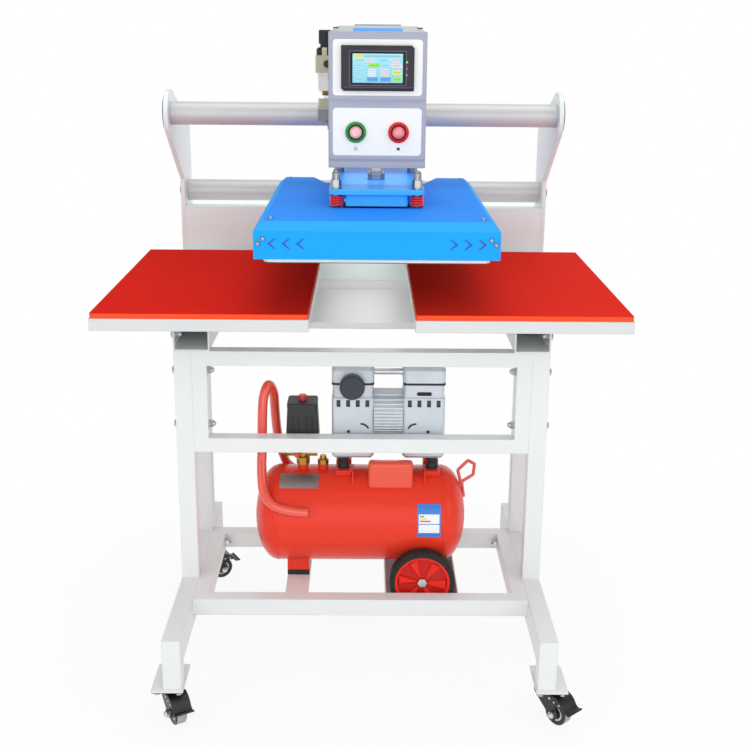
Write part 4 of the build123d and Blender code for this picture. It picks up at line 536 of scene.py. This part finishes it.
def white_acrylic(name):
    """Smooth white sheet with a faint clouding, glossier than the paint round it."""
    finish = Finish(name)
    cloud = finish.noise(5, 2.0)
    return finish.close(finish.mix(cloud * 0.5, rgb("F5F5F3"), rgb("EEEEEC")),
                        0.30 + 0.06 * cloud, relief=finish.noise(300, 1.0), depth=0.00002,
                        radius=None, Specular_IOR_Level=0.2)


dress(white_acrylic("white_acrylic"), "front_panels")


# Touch panel. A dark moulded bezel with a thin stepped frame round the glass, three lamps on its
# right, and a colour screen that shows the press's fields and keys.

screen_z = middle("touch_screen")[2]
line_outer, line_inner, rim = (0.0542, 0.0321), (0.0532, 0.0311), (0.0512, 0.0292)
lamp_x, lamp_half = 0.081, 0.0018
panel_lamps = ((1.2405, "5FF3A8"), (1.2288, "B0646E"), (1.2168, "A08A90"))


def bezel_moulding(name):
    """Fine-grained dark plastic with a pale line; one of its three small lamps is lit green."""
    finish = Finish(name)
    grain = finish.noise(1300, 2.0)
    base = finish.mix(grain * 0.3, rgb("2B2833"), rgb("393642"))
    across, upward = abs(finish.x - head_x), abs(finish.z - screen_z)
    line, inside, glass_rim = ((across < wide) * (upward < high)
                               for wide, high in (line_outer, line_inner, rim))
    base = finish.mix((line - inside) * 0.7, base, rgb("8C8996"))
    base = finish.mix(glass_rim, base, rgb("0E0D14"))
    lower_lip = finish.z.between(1.1935, 1.1943) * (across < 0.066)
    base = finish.mix(lower_lip * 0.6, base, rgb("77727E"))
    for height, colour in panel_lamps:
        lamp = (abs(finish.x - lamp_x) < lamp_half) * (abs(finish.z - height) < lamp_half)
        base = finish.mix(lamp, base, rgb(colour))
    return finish.close(base, 0.42 + 0.10 * grain, relief=grain, depth=0.00006, radius=0.0010,
                        Specular_IOR_Level=0.3)


def through_loops(name, loops, material, body, smooth=False):
    """A closed piece that runs through loops of equally many points, capped at both ends."""
    count = len(loops[0])
    points = [point for loop in loops for point in loop]
    faces = [tuple(reversed(range(count)))]
    for step in range(len(loops) - 1):
        first, second = step * count, (step + 1) * count
        for spot in range(count):
            after = (spot + 1) % count
            faces.append((first + spot, first + after, second + after, second + spot))
    faces.append(tuple(range(len(points) - count, len(points))))
    mesh = bpy.data.meshes.new(name)
    mesh.from_pydata(points, [], faces)
    shape = bmesh.new()
    shape.from_mesh(mesh)
    bmesh.ops.recalc_face_normals(shape, faces=shape.faces)
    shape.to_mesh(mesh)
    shape.free()
    for face in mesh.polygons:
        face.use_smooth = smooth
    return add_piece(name, mesh, material, body)


def cut_rectangle(half_wide, low, high, y, cut_high, cut_low):
    """A rectangle on the box's front, its upper right and lower left corners cut more deeply."""
    small_cut = 0.0012
    cuts = ((1, high, cut_high), (-1, high, small_cut), (-1, low, cut_low), (1, low, small_cut))
    points = []
    for spot, (side, z, cut) in enumerate(cuts):
        x = head_x + side * half_wide
        inward = -1 if z == high else 1
        along_side = (x, y, z + inward * cut)
        along_end = (x - side * cut, y, z)
        points += [along_side, along_end] if spot % 2 == 0 else [along_end, along_side]
    return points


def window(half_wide, half_high, y, cut=0.0008):
    """A rectangle about the middle of the screen, for the line and the edge of the glass."""
    return cut_rectangle(half_wide, screen_z - half_high, screen_z + half_high, y, cut, cut)


bezel_low, bezel_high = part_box("panel_computer")
bezel_half, bezel_bottom, bezel_top = 0.0690, bezel_low[2], bezel_high[2]
bezel_back, bezel_front = bezel_high[1], bezel_low[1] + 0.0006
line_bevel, line_proud = 0.0003, 0.0004
glass_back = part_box("touch_screen")[1][1]
bezel = through_loops("computer_bezel", [
    cut_rectangle(bezel_half, bezel_bottom, bezel_top, bezel_back, 0.0050, 0.0045),
    cut_rectangle(bezel_half, bezel_bottom, bezel_top, bezel_front + 0.0020, 0.0050, 0.0045),
    cut_rectangle(0.0672, 1.1915, 1.2694, bezel_front, 0.0045, 0.0035),
    window(*line_outer, bezel_front),
    window(line_outer[0] - line_bevel, line_outer[1] - line_bevel, bezel_front - line_proud),
    window(*line_inner, bezel_front - line_proud),
    window(line_inner[0] - line_bevel, line_inner[1] - line_bevel, bezel_front),
    window(0.0477, 0.0272, bezel_front + 0.0008, 0.0002),
    window(0.0477, 0.0272, glass_back, 0.0002),
], bezel_moulding("bezel_moulding"), "head")
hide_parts("panel_computer")


def screen_picture(name):
    """Plain fields and keys on a pale blue ground, lit from behind the glass."""
    finish = Finish(name)
    (left, _, bottom), (right, _, top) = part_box("touch_screen")
    across = (finish.x - left) * (1 / (right - left))
    upward = (finish.z - bottom) * (1 / (top - bottom))
    ground = finish.mix(upward, rgb("86CBE0"), rgb("A4DDE4"))
    fields = [
        (0.03, 0.20, 0.84, 0.97, "E9E03A"), (0.22, 0.96, 0.86, 0.95, "8FD0E0"),
        (0.25, 0.42, 0.70, 0.82, "EBCFD4"), (0.77, 0.92, 0.70, 0.82, "EBCFD4"),
        (0.30, 0.55, 0.53, 0.67, "93DC3C"), (0.77, 0.98, 0.53, 0.65, "EBCFD4"),
        (0.31, 0.46, 0.36, 0.48, "DDE6EC"), (0.56, 0.72, 0.36, 0.48, "E6CDD2"),
        (0.31, 0.46, 0.22, 0.34, "DDE6EC"), (0.56, 0.72, 0.22, 0.34, "E6CDD2"),
        (0.80, 0.97, 0.28, 0.44, "E6D84A"), (0.04, 0.25, 0.72, 0.80, "A4DCE6"),
        (0.04, 0.25, 0.55, 0.63, "A4DCE6"), (0.04, 0.27, 0.38, 0.46, "A4DCE6"),
        (0.04, 0.27, 0.23, 0.31, "A4DCE6"), (0.04, 0.22, 0.06, 0.16, "9CD4E4"),
        (0.29, 0.51, 0.04, 0.20, "5F9AD6"), (0.55, 0.76, 0.04, 0.20, "5F9AD6"),
        (0.79, 0.98, 0.04, 0.20, "9BDD3E"),
    ]
    words = [
        (0.04, 0.18, 0.90, 0.925), (0.24, 0.94, 0.90, 0.925), (0.05, 0.24, 0.755, 0.785),
        (0.27, 0.40, 0.75, 0.78), (0.56, 0.70, 0.755, 0.785), (0.79, 0.90, 0.75, 0.78),
        (0.06, 0.22, 0.585, 0.61), (0.35, 0.52, 0.58, 0.61), (0.60, 0.72, 0.585, 0.61),
        (0.80, 0.94, 0.58, 0.61), (0.06, 0.25, 0.41, 0.435), (0.33, 0.44, 0.405, 0.435),
        (0.58, 0.70, 0.405, 0.435), (0.06, 0.25, 0.265, 0.29), (0.33, 0.44, 0.265, 0.29),
        (0.58, 0.70, 0.265, 0.29), (0.83, 0.94, 0.345, 0.375), (0.07, 0.20, 0.10, 0.125),
        (0.32, 0.48, 0.10, 0.13), (0.59, 0.73, 0.10, 0.13), (0.82, 0.95, 0.10, 0.13),
    ]
    for low_u, high_u, low_v, high_v, colour in fields:
        field = across.between(low_u, high_u) * upward.between(low_v, high_v)
        ground = finish.mix(field * 0.9, ground, rgb(colour))
    ticks = finish.start.math("SINE", across * 190) > 0.1
    for low_u, high_u, low_v, high_v in words:
        word = across.between(low_u, high_u) * upward.between(low_v, high_v) * ticks
        ground = finish.mix(word * 0.7, ground, rgb("33465C"))
    return finish.close(ground, 0.10 + 0.04 * finish.noise(40, 2.0), Emission_Color=ground,
                        Emission_Strength=0.06, Specular_IOR_Level=0.2)


dress(screen_picture("screen_picture"), "touch_screen")


# Push buttons. Screwed collars, green on the left and red on the right, round shiny domed caps
# with a dark gap between, partly real and partly the collars' bores painted dark as shade. A
# small plain power or stop mark is printed under each.

button_x, button_z = 0.041, middle("green_button")[2]


def button_collar(name):
    """Collar: green left of the middle, red right of it, its bore painted dark as shade; fine
    lathe rings.
    """
    bore_radius, ring_rate = 0.0141, 9000
    finish = Finish(name)
    colour = finish.mix(finish.x > head_x, rgb("1C8A34"), rgb("D8000E"))
    reach = distance(abs(finish.x - head_x) - button_x, finish.z - button_z)
    rings = finish.start.math("SINE", reach * ring_rate) * 0.5 + 0.5
    # Painted shade: the collar's bore, inside bore_radius, is painted almost black.
    return finish.close(finish.mix((reach < bore_radius) * 0.9, colour, rgb("1C0A0C")),
                        0.30 + 0.08 * rings, 0.0, relief=rings, depth=0.00003, radius=0.0006)


def turned(name, x, z, profile, material, body):
    """A round piece turned about an axis that points forward, from pairs of radius and y."""
    steps = 48
    angles = [2 * math.pi * step / steps for step in range(steps)]
    loops = [[(x + reach * math.cos(angle), y, z + reach * math.sin(angle)) for angle in angles]
             for reach, y in profile]
    made = through_loops(name, loops, material, body, smooth=True)
    made.data.set_sharp_from_angle(angle=math.radians(40))
    return made


panel_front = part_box("control_box")[0][1]
collar_finish = button_collar("button_collar")
for side, colour in ((-1, "green"), (1, "red")):
    collar = turned(f"collar_{colour}", head_x + side * button_x, button_z, [
        (0.0134, panel_front + 0.018), (0.0160, panel_front + 0.018),
        (0.0160, panel_front + 0.0006), (0.0200, panel_front + 0.0006),
        (0.0200, panel_front - 0.0030), (0.0190, panel_front - 0.0052),
        (0.0172, panel_front - 0.0066), (0.0158, panel_front - 0.0070),
        (0.0147, panel_front - 0.0062), (0.0140, panel_front - 0.0030),
        (0.0134, panel_front - 0.0010)], collar_finish, "head")
    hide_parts("button_rings")


def button_cap(name, colour, painted_glint):
    """Shiny cap painted pink with pale swirls, as a painted reflection of the red mats and painted
    highlights.
    """
    finish = Finish(name)
    swirl = finish.noise(120, 3.0, (1, 1, 2.5))
    return finish.close(finish.mix(swirl * 0.8, colour, painted_glint), 0.16 + 0.10 * swirl, 0.35,
                        relief=finish.noise(260, 2.0), depth=0.00015, radius=0.0012)


def round_cap(name, side, material, body):
    """A domed cap, a little narrower than its collar's bore, so a dark ring of the bore's painted
    shade shows round it.
    """
    cap = turned(name, head_x + side * button_x, button_z, [
        (0.0090, panel_front + 0.0100), (0.0117, panel_front + 0.0100),
        (0.0117, panel_front - 0.0068), (0.0113, panel_front - 0.0080),
        (0.0100, panel_front - 0.0088), (0.0066, panel_front - 0.0094),
        (0.0020, panel_front - 0.0096)], material, body)
    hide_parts(body)


# The caps' pink colours and pale swirls are painted reflections of the mats and painted
# highlights.
round_cap("cap_green", -1, button_cap("green_side_cap", rgb("E27F8C"), rgb("F6D6D4")),
          "green_button")
round_cap("cap_red", 1, button_cap("red_side_cap", rgb("D64A5A"), rgb("F0B4B8")),
          "red_button")


def print_ink(name, colour):
    """Screen-printed ink, a little flatter than the surface under it."""
    finish = Finish(name)
    return finish.close(finish.mix(finish.noise(300, 3.0) * 0.3, colour, rgb("101828")),
                        0.42 + 0.08 * finish.noise(90, 2.0), radius=0.0001)


def flat_mark(name, outline, face, body, material):
    """A thin printed mark: a polygon set just proud of a face, given as a function of (u, v)."""
    mesh = bpy.data.meshes.new(name)
    mesh.from_pydata([face(u, v) for u, v in outline], [], [tuple(range(len(outline)))])
    add_piece(name, mesh, material, body)


def on_panel(u, v):
    """A point just proud of the lower white panel."""
    return (u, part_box("front_panels")[0][1] - 0.0002, v)


def upright(centre, half_wide, low, high):
    """The outline of an upright rectangle about a place along x or y."""
    left, right = centre - half_wide, centre + half_wide
    return [(left, low), (right, low), (right, high), (left, high)]


panel_ink = print_ink("panel_ink", rgb("3A3A40"))
power_x, stop_x, mark_z = head_x - button_x, head_x + button_x, 1.0776
ring_outer, ring_inner, bar_half, bar_high, stop_half = 0.0034, 0.0025, 0.0005, 0.0040, 0.0028
sweep = [math.radians(120 + 15 * step) for step in range(21)]
power_arc = [(power_x + reach * math.cos(angle), mark_z + reach * math.sin(angle))
             for reach, angles in ((ring_outer, sweep), (ring_inner, sweep[::-1]))
             for angle in angles]
power_bar = upright(power_x, bar_half, mark_z, mark_z + bar_high)
stop_square = upright(stop_x, stop_half, mark_z - stop_half, mark_z + stop_half)
for name, outline in (("mark_on_ring", power_arc), ("mark_on_bar", power_bar),
                      ("mark_off", stop_square)):
    flat_mark(name, outline, on_panel, "head", panel_ink)


# Filter regulator. A cream die-cast body with a black plug and bonnet, a ribbed black knob, a
# clear bowl with its brown filter element, and a grey bracket block with a brass elbow below.

unit_x, unit_y = -0.081, middle("filter_bowl")[1]
brass_top, block_top, bonnet_bottom = 1.1125, 1.132, 1.2462
plug_z, plug_half = 1.229, 0.0078


def regulator_finish(name):
    """Each level of the unit in its own stuff: brass, grey, cream enamel, then black plastic."""
    finish = Finish(name)
    grain = finish.noise(600, 3.0)
    base = finish.mix(grain * 0.35, rgb("BFBFA2"), rgb("A6A68B"))
    base = finish.mix(finish.z < block_top, base, rgb("7E7E80"))
    brass = finish.z < brass_top
    black = finish.z > bonnet_bottom
    plug = (abs(finish.x - unit_x) < plug_half) * (abs(finish.z - plug_z) < plug_half)
    plug = plug * (finish.y < unit_y - 0.0195)
    base = finish.mix(brass, base, rgb("8F8A7C"))
    base = finish.mix(black + plug - black * plug, base, rgb("0E0E10"))
    elbow = (finish.y < unit_y - 0.0143) * finish.z.between(1.2455, 1.262)
    elbow = elbow * finish.x.between(-0.0875, -0.0775)
    base = finish.mix(elbow, base, rgb("C9BFA4"))
    return finish.close(base, 0.36 + 0.12 * grain, brass * 0.9, relief=grain, depth=0.00008,
                        radius=0.0010)


dress(regulator_finish("regulator_finish"), "regulator_body")


def clear_bowl(name):
    """Clear moulded bowl: mostly see-through, with a faint brown ring of old oil near its top."""
    finish = Finish(name)
    ring = finish.z.between(1.2035, 1.2065)
    tint = finish.mix(ring * 0.6, rgb("C9C4C0"), rgb("8C6A48"))
    return finish.close(tint, 0.08 + 0.06 * finish.noise(60, 2.0), Alpha=0.2, IOR=1.45,
                        radius=0.0008)


dress(clear_bowl("clear_bowl"), "filter_bowl")


def ribbed_plastic(name, colour, rough):
    """Matt moulded plastic with a fine spark-eroded grain."""
    finish = Finish(name)
    grain = finish.noise(1500, 2.0)
    return finish.close(finish.mix(grain * 0.3, colour, rgb("3A3A3E")), rough + 0.12 * grain,
                        relief=grain, depth=0.00006, radius=0.0008)


dress(ribbed_plastic("knob_plastic", rgb("0C0C0E"), 0.44), "regulator_knob")


def sintered_bronze(name):
    """Brown porous bronze of the filter's element."""
    finish = Finish(name)
    grit = finish.noise(1800, 3.0)
    return finish.close(finish.mix(grit, rgb("C07818"), rgb("7A4410")), 0.55 + 0.1 * grit,
                        relief=grit, depth=0.0001)


pleats, pleat_tip, pleat_root = 18, 0.0070, 0.0058
element_loops = []
for level in (1.164, 1.173):
    loop = []
    for step in range(2 * pleats):
        reach = pleat_tip if step % 2 else pleat_root
        angle = math.pi * step / pleats
        loop.append((unit_x + reach * math.cos(angle), unit_y + reach * math.sin(angle), level))
    element_loops.append(loop)
through_loops("filter_element", element_loops, sintered_bronze("sintered_bronze"), "head")


# Press. The chromed rod pushes a thick blue plate; four studs with tall acorn nuts hang the
# blue cover, the steel pressure frame and the cast heating plate on it, with red springs between.

def enamel(name, colour, shade, rough, coat=0.5, specular=0.5):
    """Glossy two-coat enamel: even colour, a slight peel, and a clear shine on top."""
    finish = Finish(name)
    base = finish.mix(finish.noise(3.2, 2.0) * 0.6, colour, shade)
    return finish.close(base, rough + 0.08 * finish.noise(20, 3.0),
                        relief=finish.noise(260, 2.0), depth=0.00004, radius=0.0014,
                        Coat_Weight=coat, Coat_Roughness=0.12, Specular_IOR_Level=specular)


cover_front, skirt_top, shoulder_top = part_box("head_cover")[0][1], 0.9530, 0.9678


def cover_enamel(name):
    """The cover's blue, painted a little lighter on its bevelled shoulders and front as painted
    highlight.
    """
    finish = Finish(name)
    drift = finish.noise(3.0, 2.0)
    base = finish.mix(drift * 0.6, rgb("2E93FB"), rgb("2789F2"))
    front = (finish.y < cover_front + 0.0032) * (finish.z < skirt_top)
    shoulder = finish.z.between(skirt_top, shoulder_top)
    # Painted highlight: a lighter blue on the front and the shoulders, where the light falls on
    # them.
    base = finish.mix(front, base, rgb("22A4FF"))
    base = finish.mix(shoulder * 0.7, base, rgb("35B0FF"))
    return finish.close(base, 0.62 + 0.08 * finish.noise(20, 3.0), relief=finish.noise(260, 2.0),
                        depth=0.00004, radius=0.0016, Specular_IOR_Level=0.05)


dress(cover_enamel("cover_enamel"), "head_cover")


def plate_enamel(name):
    """Blue plate: the top painted lighter to offset the box's shadow, the rim lighter still as
    painted highlight.
    """
    finish = Finish(name)
    top = finish.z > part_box("floating_plate")[1][2] - 0.0008
    drift = finish.noise(8, 3.0, (1, 0.25, 1))
    deep = finish.mix(drift, rgb("3E9AF6"), rgb("5CB0FF"))
    # The rim's lighter blue is a painted highlight; the top's blue is lifted as painted light
    # against the box's shade.
    base = finish.mix(top, rgb("4DBAFE"), deep)
    return finish.close(base, 0.30 + 0.10 * drift, relief=finish.noise(200, 2.0), depth=0.00003,
                        radius=0.0020, Specular_IOR_Level=0.02)


dress(plate_enamel("plate_enamel"), "floating_plate")
dress(bright_metal("rod_chrome", rgb("9A9CA0"), 0.14), "piston_rod")
dress(bright_metal("acorn_chrome", rgb("9C9EA2"), 0.10), "guide_studs", "cover_screws")
dress(enamel("spring_red", rgb("FF2A26"), rgb("EE1C1C"), 0.20), "platen_springs")
dress(bright_metal("mill_steel", rgb("8D9094"), 0.38, 30), "pressure_frame")


def cast_platen(name):
    """Cast aluminium with a milled edge painted near-white to offset the cover's shade, and a dark
    non-stick coat below.
    """
    finish = Finish(name)
    grain = finish.noise(220, 4.0)
    under = finish.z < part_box("heat_platen")[0][2] + 0.0015
    # Painted light: the edge is near-white, brighter than bare aluminium, making up for the shade
    # under the cover.
    base = finish.mix(grain * 0.4, rgb("F8FBFC"), rgb("E0E5E8"))
    base = finish.mix(under, base, rgb("55524E"))
    return finish.close(base, 0.36 + 0.14 * grain, relief=grain, depth=0.00012, radius=0.0015)


dress(cast_platen("cast_platen"), "heat_platen")


def on_cover(u, v):
    """A point just proud of the cover's front."""
    return (u, cover_front - 0.0003, v)


cover_ink = print_ink("cover_ink", rgb("1648B0"))
first_tip, chevron_pitch, chevron_depth, stroke = 0.196, 0.0254, 0.0125, 0.0032
chevron_low, chevron_middle, chevron_high = 0.9210, 0.9305, 0.9400
for side, word in ((-1, "left"), (1, "right")):
    for count in range(3):
        tip = head_x + side * (first_tip - chevron_pitch * count)
        tail, line = tip - side * chevron_depth, side * stroke
        outline = [(tail, chevron_high), (tip, chevron_middle), (tail, chevron_low),
                   (tail - line, chevron_low), (tip - line * 1.5, chevron_middle),
                   (tail - line, chevron_high)]
        flat_mark(f"chevron_{word}_{count}", outline, on_cover, "platen", cover_ink)


# Compressor. A red enamelled tank on a foot and two tyred wheels carries two oil-free pump
# heads on rubber mounts, a finned motor between them, and the pressure switch on its bosses.

tank_x, tank_y = middle("air_tank")[:2]
tank_z, tank_radius = 0.307, 0.100
tank_enamel = enamel("tank_enamel", rgb("EA3D28"), rgb("DA3624"), 0.24, 0.10, 0.15)
dress(tank_enamel, "air_tank")


def bent_rod(name, points, radius, material):
    """A round tube or rod on the tank, bent through points given from its middle, in mm."""
    curve = bpy.data.curves.new(name, "CURVE")
    curve.dimensions = "3D"
    curve.bevel_depth = radius
    curve.bevel_resolution = 5
    curve.use_fill_caps = True
    curve.resolution_u = 8
    spline = curve.splines.new("NURBS")
    spline.points.add(len(points) - 1)
    for spot, (x, y, z) in zip(spline.points, points):
        spot.co = (tank_x + x / 1000, tank_y + y / 1000, tank_z + z / 1000, 1)
    spline.order_u = 3
    spline.use_endpoint_u = True
    line = bpy.data.objects.new(f"{name}_line", curve)
    bpy.context.scene.collection.objects.link(line)
    mesh = bpy.data.meshes.new_from_object(line)
    bpy.data.objects.remove(line)
    mesh.materials.clear()
    for face in mesh.polygons:
        face.use_smooth = True
    rod = add_piece(name, mesh, material, "base")
    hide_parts("tank_handle")


handle_radius, ring_radius = 0.010, 0.0035
# The handle's red is a lighter copy of the tank's red, painted light standing in for its
# highlights.
handle_enamel = enamel("handle_enamel", rgb("EC4C38"), rgb("E0402E"), 0.14, 1.0)
bent_rod("bent_handle", [
    (-106, -99, 42), (-165, -97, 44), (-198, -84, 70), (-204, -54, 112), (-204, -30, 155),
    (-203, -24, 225), (-201, -18, 264), (-191, -3, 290), (-181, 12, 264), (-181, 24, 225),
    (-178, 40, 160), (-170, 62, 110), (-158, 84, 66), (-120, 92, 44)],
    handle_radius, handle_enamel)
ring_bends = [(196, 42), (212, 68), (205, 96), (226, 118), (240, 110), (238, 86), (214, 70),
              (219, 36)]
ring_points = [(ring_bends[0][0], 0, ring_bends[0][1])]
for (x, z), (after_x, after_z) in zip(ring_bends, ring_bends[1:]):
    for part in (0.25, 0.75, 1.0):
        ring_points.append((x + part * (after_x - x), 0, z + part * (after_z - z)))
bent_rod("tow_ring", ring_points, ring_radius, handle_enamel)
dress(ribbed_plastic("foot_rubber", rgb("1C1C1E"), 0.6), "rubber_feet")


def cast_alloy(name):
    """Cast alloy, blue-grey and grainy, with a black gasket; its window and port pockets painted
    dark as shade.
    """
    pumps_x, pump_offset, wall_y = middle("pump_heads")[0], 0.073, table_y - 0.118
    finish = Finish(name)
    grain = finish.noise(260, 4.0)
    stain = finish.noise(18, 3.0)
    base = finish.mix(grain * 0.4, rgb("DAE1E8"), rgb("BCC4CC"))
    base = finish.mix(stain * 0.35, base, rgb("8E969E"))
    gasket = finish.z.between(0.5998, 0.6042)
    depth = finish.y - wall_y
    beside = abs(abs(finish.x - pumps_x) - pump_offset)
    shaded_windows = depth.between(0.0008, 0.006) * (beside < 0.0343) * finish.z.between(0.452, 0.5678)
    shaded_port = depth.between(0.0024, 0.0046) * (beside < 0.0162) * finish.z.between(0.5765, 0.5855)
    # The window and port pockets are painted near-black as shade; the gasket is black rubber.
    for mask in (shaded_windows * 0.9, shaded_port, gasket):
        base = finish.mix(mask, base, rgb("17181A"))
    return finish.close(base, 0.38 + 0.12 * grain, 0.35 - gasket * 0.35, relief=grain,
                        depth=0.00012, radius=0.0012)


dress(cast_alloy("pump_alloy"), "pump_heads")
dress(bright_metal("motor_alloy", rgb("DDE3E9"), 0.45, 120, 0.15), "pump_motor")


def pipe_finish(name):
    """Bright tube between the pumps, and brass valves below the switch."""
    finish = Finish(name)
    grain = finish.noise(90, 3.0)
    steel = finish.mix(grain, rgb("CFD3D7"), rgb("B2B6BA"))
    brass = finish.mix(grain, rgb("C9A04A"), rgb("9A7430"))
    valves_top = 0.500
    return finish.close(finish.mix(finish.z < valves_top, steel, brass), 0.24 + 0.12 * grain, 0.9,
                        relief=grain, depth=0.00003)


dress(pipe_finish("pipe_finish"), "air_pipes")
dress(ribbed_plastic("filter_plastic", rgb("2C3242"), 0.36), "air_filter")
dress(ribbed_plastic("switch_plastic", rgb("26272A"), 0.46), "pressure_switch")
dress(enamel("switch_red", rgb("E23A3E"), rgb("C92A30"), 0.24), "switch_knob")


def tyred_wheel(name):
    """Black tyre with a dull tread round a glossy red moulded centre, painted darker in its
    recesses as shade.
    """
    wheel_x, _, wheel_z = middle("compressor_wheel_front")
    outer_face = tank_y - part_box("compressor_wheel_front")[0][1]
    rim_radius, shaded_recess = 0.0562, 0.006
    finish = Finish(name)
    scuff = finish.noise(140, 4.0)
    red = finish.mix(finish.noise(12, 2.0) * 0.5, rgb("EA2A1E"), rgb("D22016"))
    tyre = finish.mix(scuff * 0.6, rgb("222220"), rgb("3C3B38"))
    rim = distance(finish.x - wheel_x, finish.z - wheel_z) > rim_radius
    depth = outer_face - abs(finish.y - tank_y)
    # Painted shade: the red is darkened in the centre's sunken recesses.
    red = finish.mix((depth > shaded_recess) * 0.45, red, rgb("8C1812"))
    return finish.close(finish.mix(rim, red, tyre), 0.28 + rim * 0.30 + 0.1 * scuff,
                        relief=scuff, depth=0.00012, radius=0.0014, Specular_IOR_Level=0.2)


dress(tyred_wheel("tyred_wheel"), "compressor_wheel_front", "compressor_wheel_rear")


def tank_plate(name, left, right, low, high, material, proud=0.0004):
    """A thin blank plate or label that follows the barrel between two angles above level."""
    steps = 8
    reach = tank_radius + proud
    points = []
    for step in range(steps + 1):
        angle = math.radians(low + (high - low) * step / steps)
        y, z = tank_y - reach * math.cos(angle), tank_z + reach * math.sin(angle)
        points += [(left, y, z), (right, y, z)]
    faces = [(2 * step, 2 * step + 1, 2 * step + 3, 2 * step + 2) for step in range(steps)]
    mesh = bpy.data.meshes.new(name)
    mesh.from_pydata(points, [], faces)
    add_piece(name, mesh, material, "base")


tank_plate("blank_plate", -0.1695, -0.089, 52, 74.5,
           bright_metal("plate_aluminium", rgb("B9BABC"), 0.36, 200))


def on_barrel(y):
    """A height just under the barrel's skin, at a given place along the machine's depth."""
    sunk = 0.0005
    return tank_z - sunk + (tank_radius ** 2 - (y - tank_y) ** 2) ** 0.5


def cover_section(x, inset):
    """The capacitor cover cut across at x: two rounded corners on top and feet on the tank."""
    front, rear = tank_y - 0.059 + inset, tank_y - 0.0325
    top, radius = tank_z + 0.134 - inset, 0.008
    section = [(x, rear, on_barrel(rear))]
    for centre, start in ((rear - radius, 0), (front + radius, 90)):
        for step in range(7):
            angle = math.radians(start + 15 * step)
            section.append((x, centre + radius * math.cos(angle),
                            top - radius + radius * math.sin(angle)))
    return section + [(x, front, on_barrel(front))]


housing_x = middle("capacitor_cover")[0]
rounded_end = [(0.0460, 0.0060), (0.0448, 0.0030), (0.0422, 0.0009), (0.0380, 0.0)]
sections = [cover_section(housing_x - half, inset) for half, inset in rounded_end]
sections += [cover_section(housing_x + half, inset) for half, inset in rounded_end[::-1]]
# The housing's red is a lighter copy of the tank's red, painted light standing in for the light on
# its rounded top.
capacitor = through_loops("capacitor_housing", sections, enamel(
    "capacitor_enamel", rgb("EA5640"), rgb("DE4C3A"), 0.22, 0.4, 0.3), "base",
    smooth=True)
capacitor.data.set_sharp_from_angle(angle=math.radians(50))
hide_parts("capacitor_cover")


def sheet(name, across, outline):
    """Sheet metal of the tank: its two ends across x, and an outline of (y, z) points."""
    through_loops(name, [[(x, table_y + y, z) for y, z in outline] for x in across], tank_enamel,
                  "base")


tab_outline = upright(-0.104, 0.019, 0.4112, 0.4142)
leg_outline = [(-0.110, 0.400), (-0.141, 0.3855), (-0.1435, 0.389), (-0.125, 0.4140),
               (-0.110, 0.4140)]
for name, tab, leg in (("left", (-0.054, -0.0165), (-0.0200, -0.0165)),
                       ("right", (0.1295, 0.163), (0.1295, 0.1330))):
    sheet(f"mount_tab_{name}", tab, tab_outline)
    sheet(f"mount_leg_{name}", leg, leg_outline)
sheet("foot_front", (-0.155, -0.109), upright(-0.1392, 0.0012, 0.1972, 0.2230))

knob_x, knob_z = -0.134, 0.446
turned("drain_knob", knob_x, knob_z, [
    (0.0030, table_y - 0.094), (0.0035, table_y - 0.108), (0.0064, table_y - 0.108),
    (0.0064, table_y - 0.115), (0.0050, table_y - 0.117), (0.0010, table_y - 0.1175)],
    enamel("valve_red", rgb("E8342E"), rgb("CE2420"), 0.2, 0.5), "base")


def label_field(name):
    """White film with three short coloured bars, longest at the bottom."""
    bar_half, bar_left = 0.0014, 0.1200
    finish = Finish(name)
    film = finish.mix(finish.noise(30, 2.0), rgb("F2F4F6"), rgb("E6E9EC"))
    for height, bar_right, colour in ((0.3395, 0.1290, "2FA84F"), (0.3350, 0.1350, "E8D23A"),
                                      (0.3305, 0.1420, "D8342C")):
        bar = (abs(finish.z - height) < bar_half) * finish.x.between(bar_left, bar_right)
        film = finish.mix(bar, film, rgb(colour))
    return finish.close(film, 0.3 + 0.1 * finish.noise(50, 2.0), radius=0.0001)


blue_vinyl = enamel("blue_vinyl", rgb("1E7BD8"), rgb("1A70C8"), 0.3, 0.2)
white_vinyl = label_field("white_vinyl")
tank_plate("blank_label", 0.1150, 0.1628, -5.8, 33.6, blue_vinyl)
for name, low, high in (("field", 10.5, 21.5), ("foot", -0.7, 9.5)):
    tank_plate(f"blank_label_{name}", 0.1175, 0.1600, low, high, white_vinyl, 0.0006)
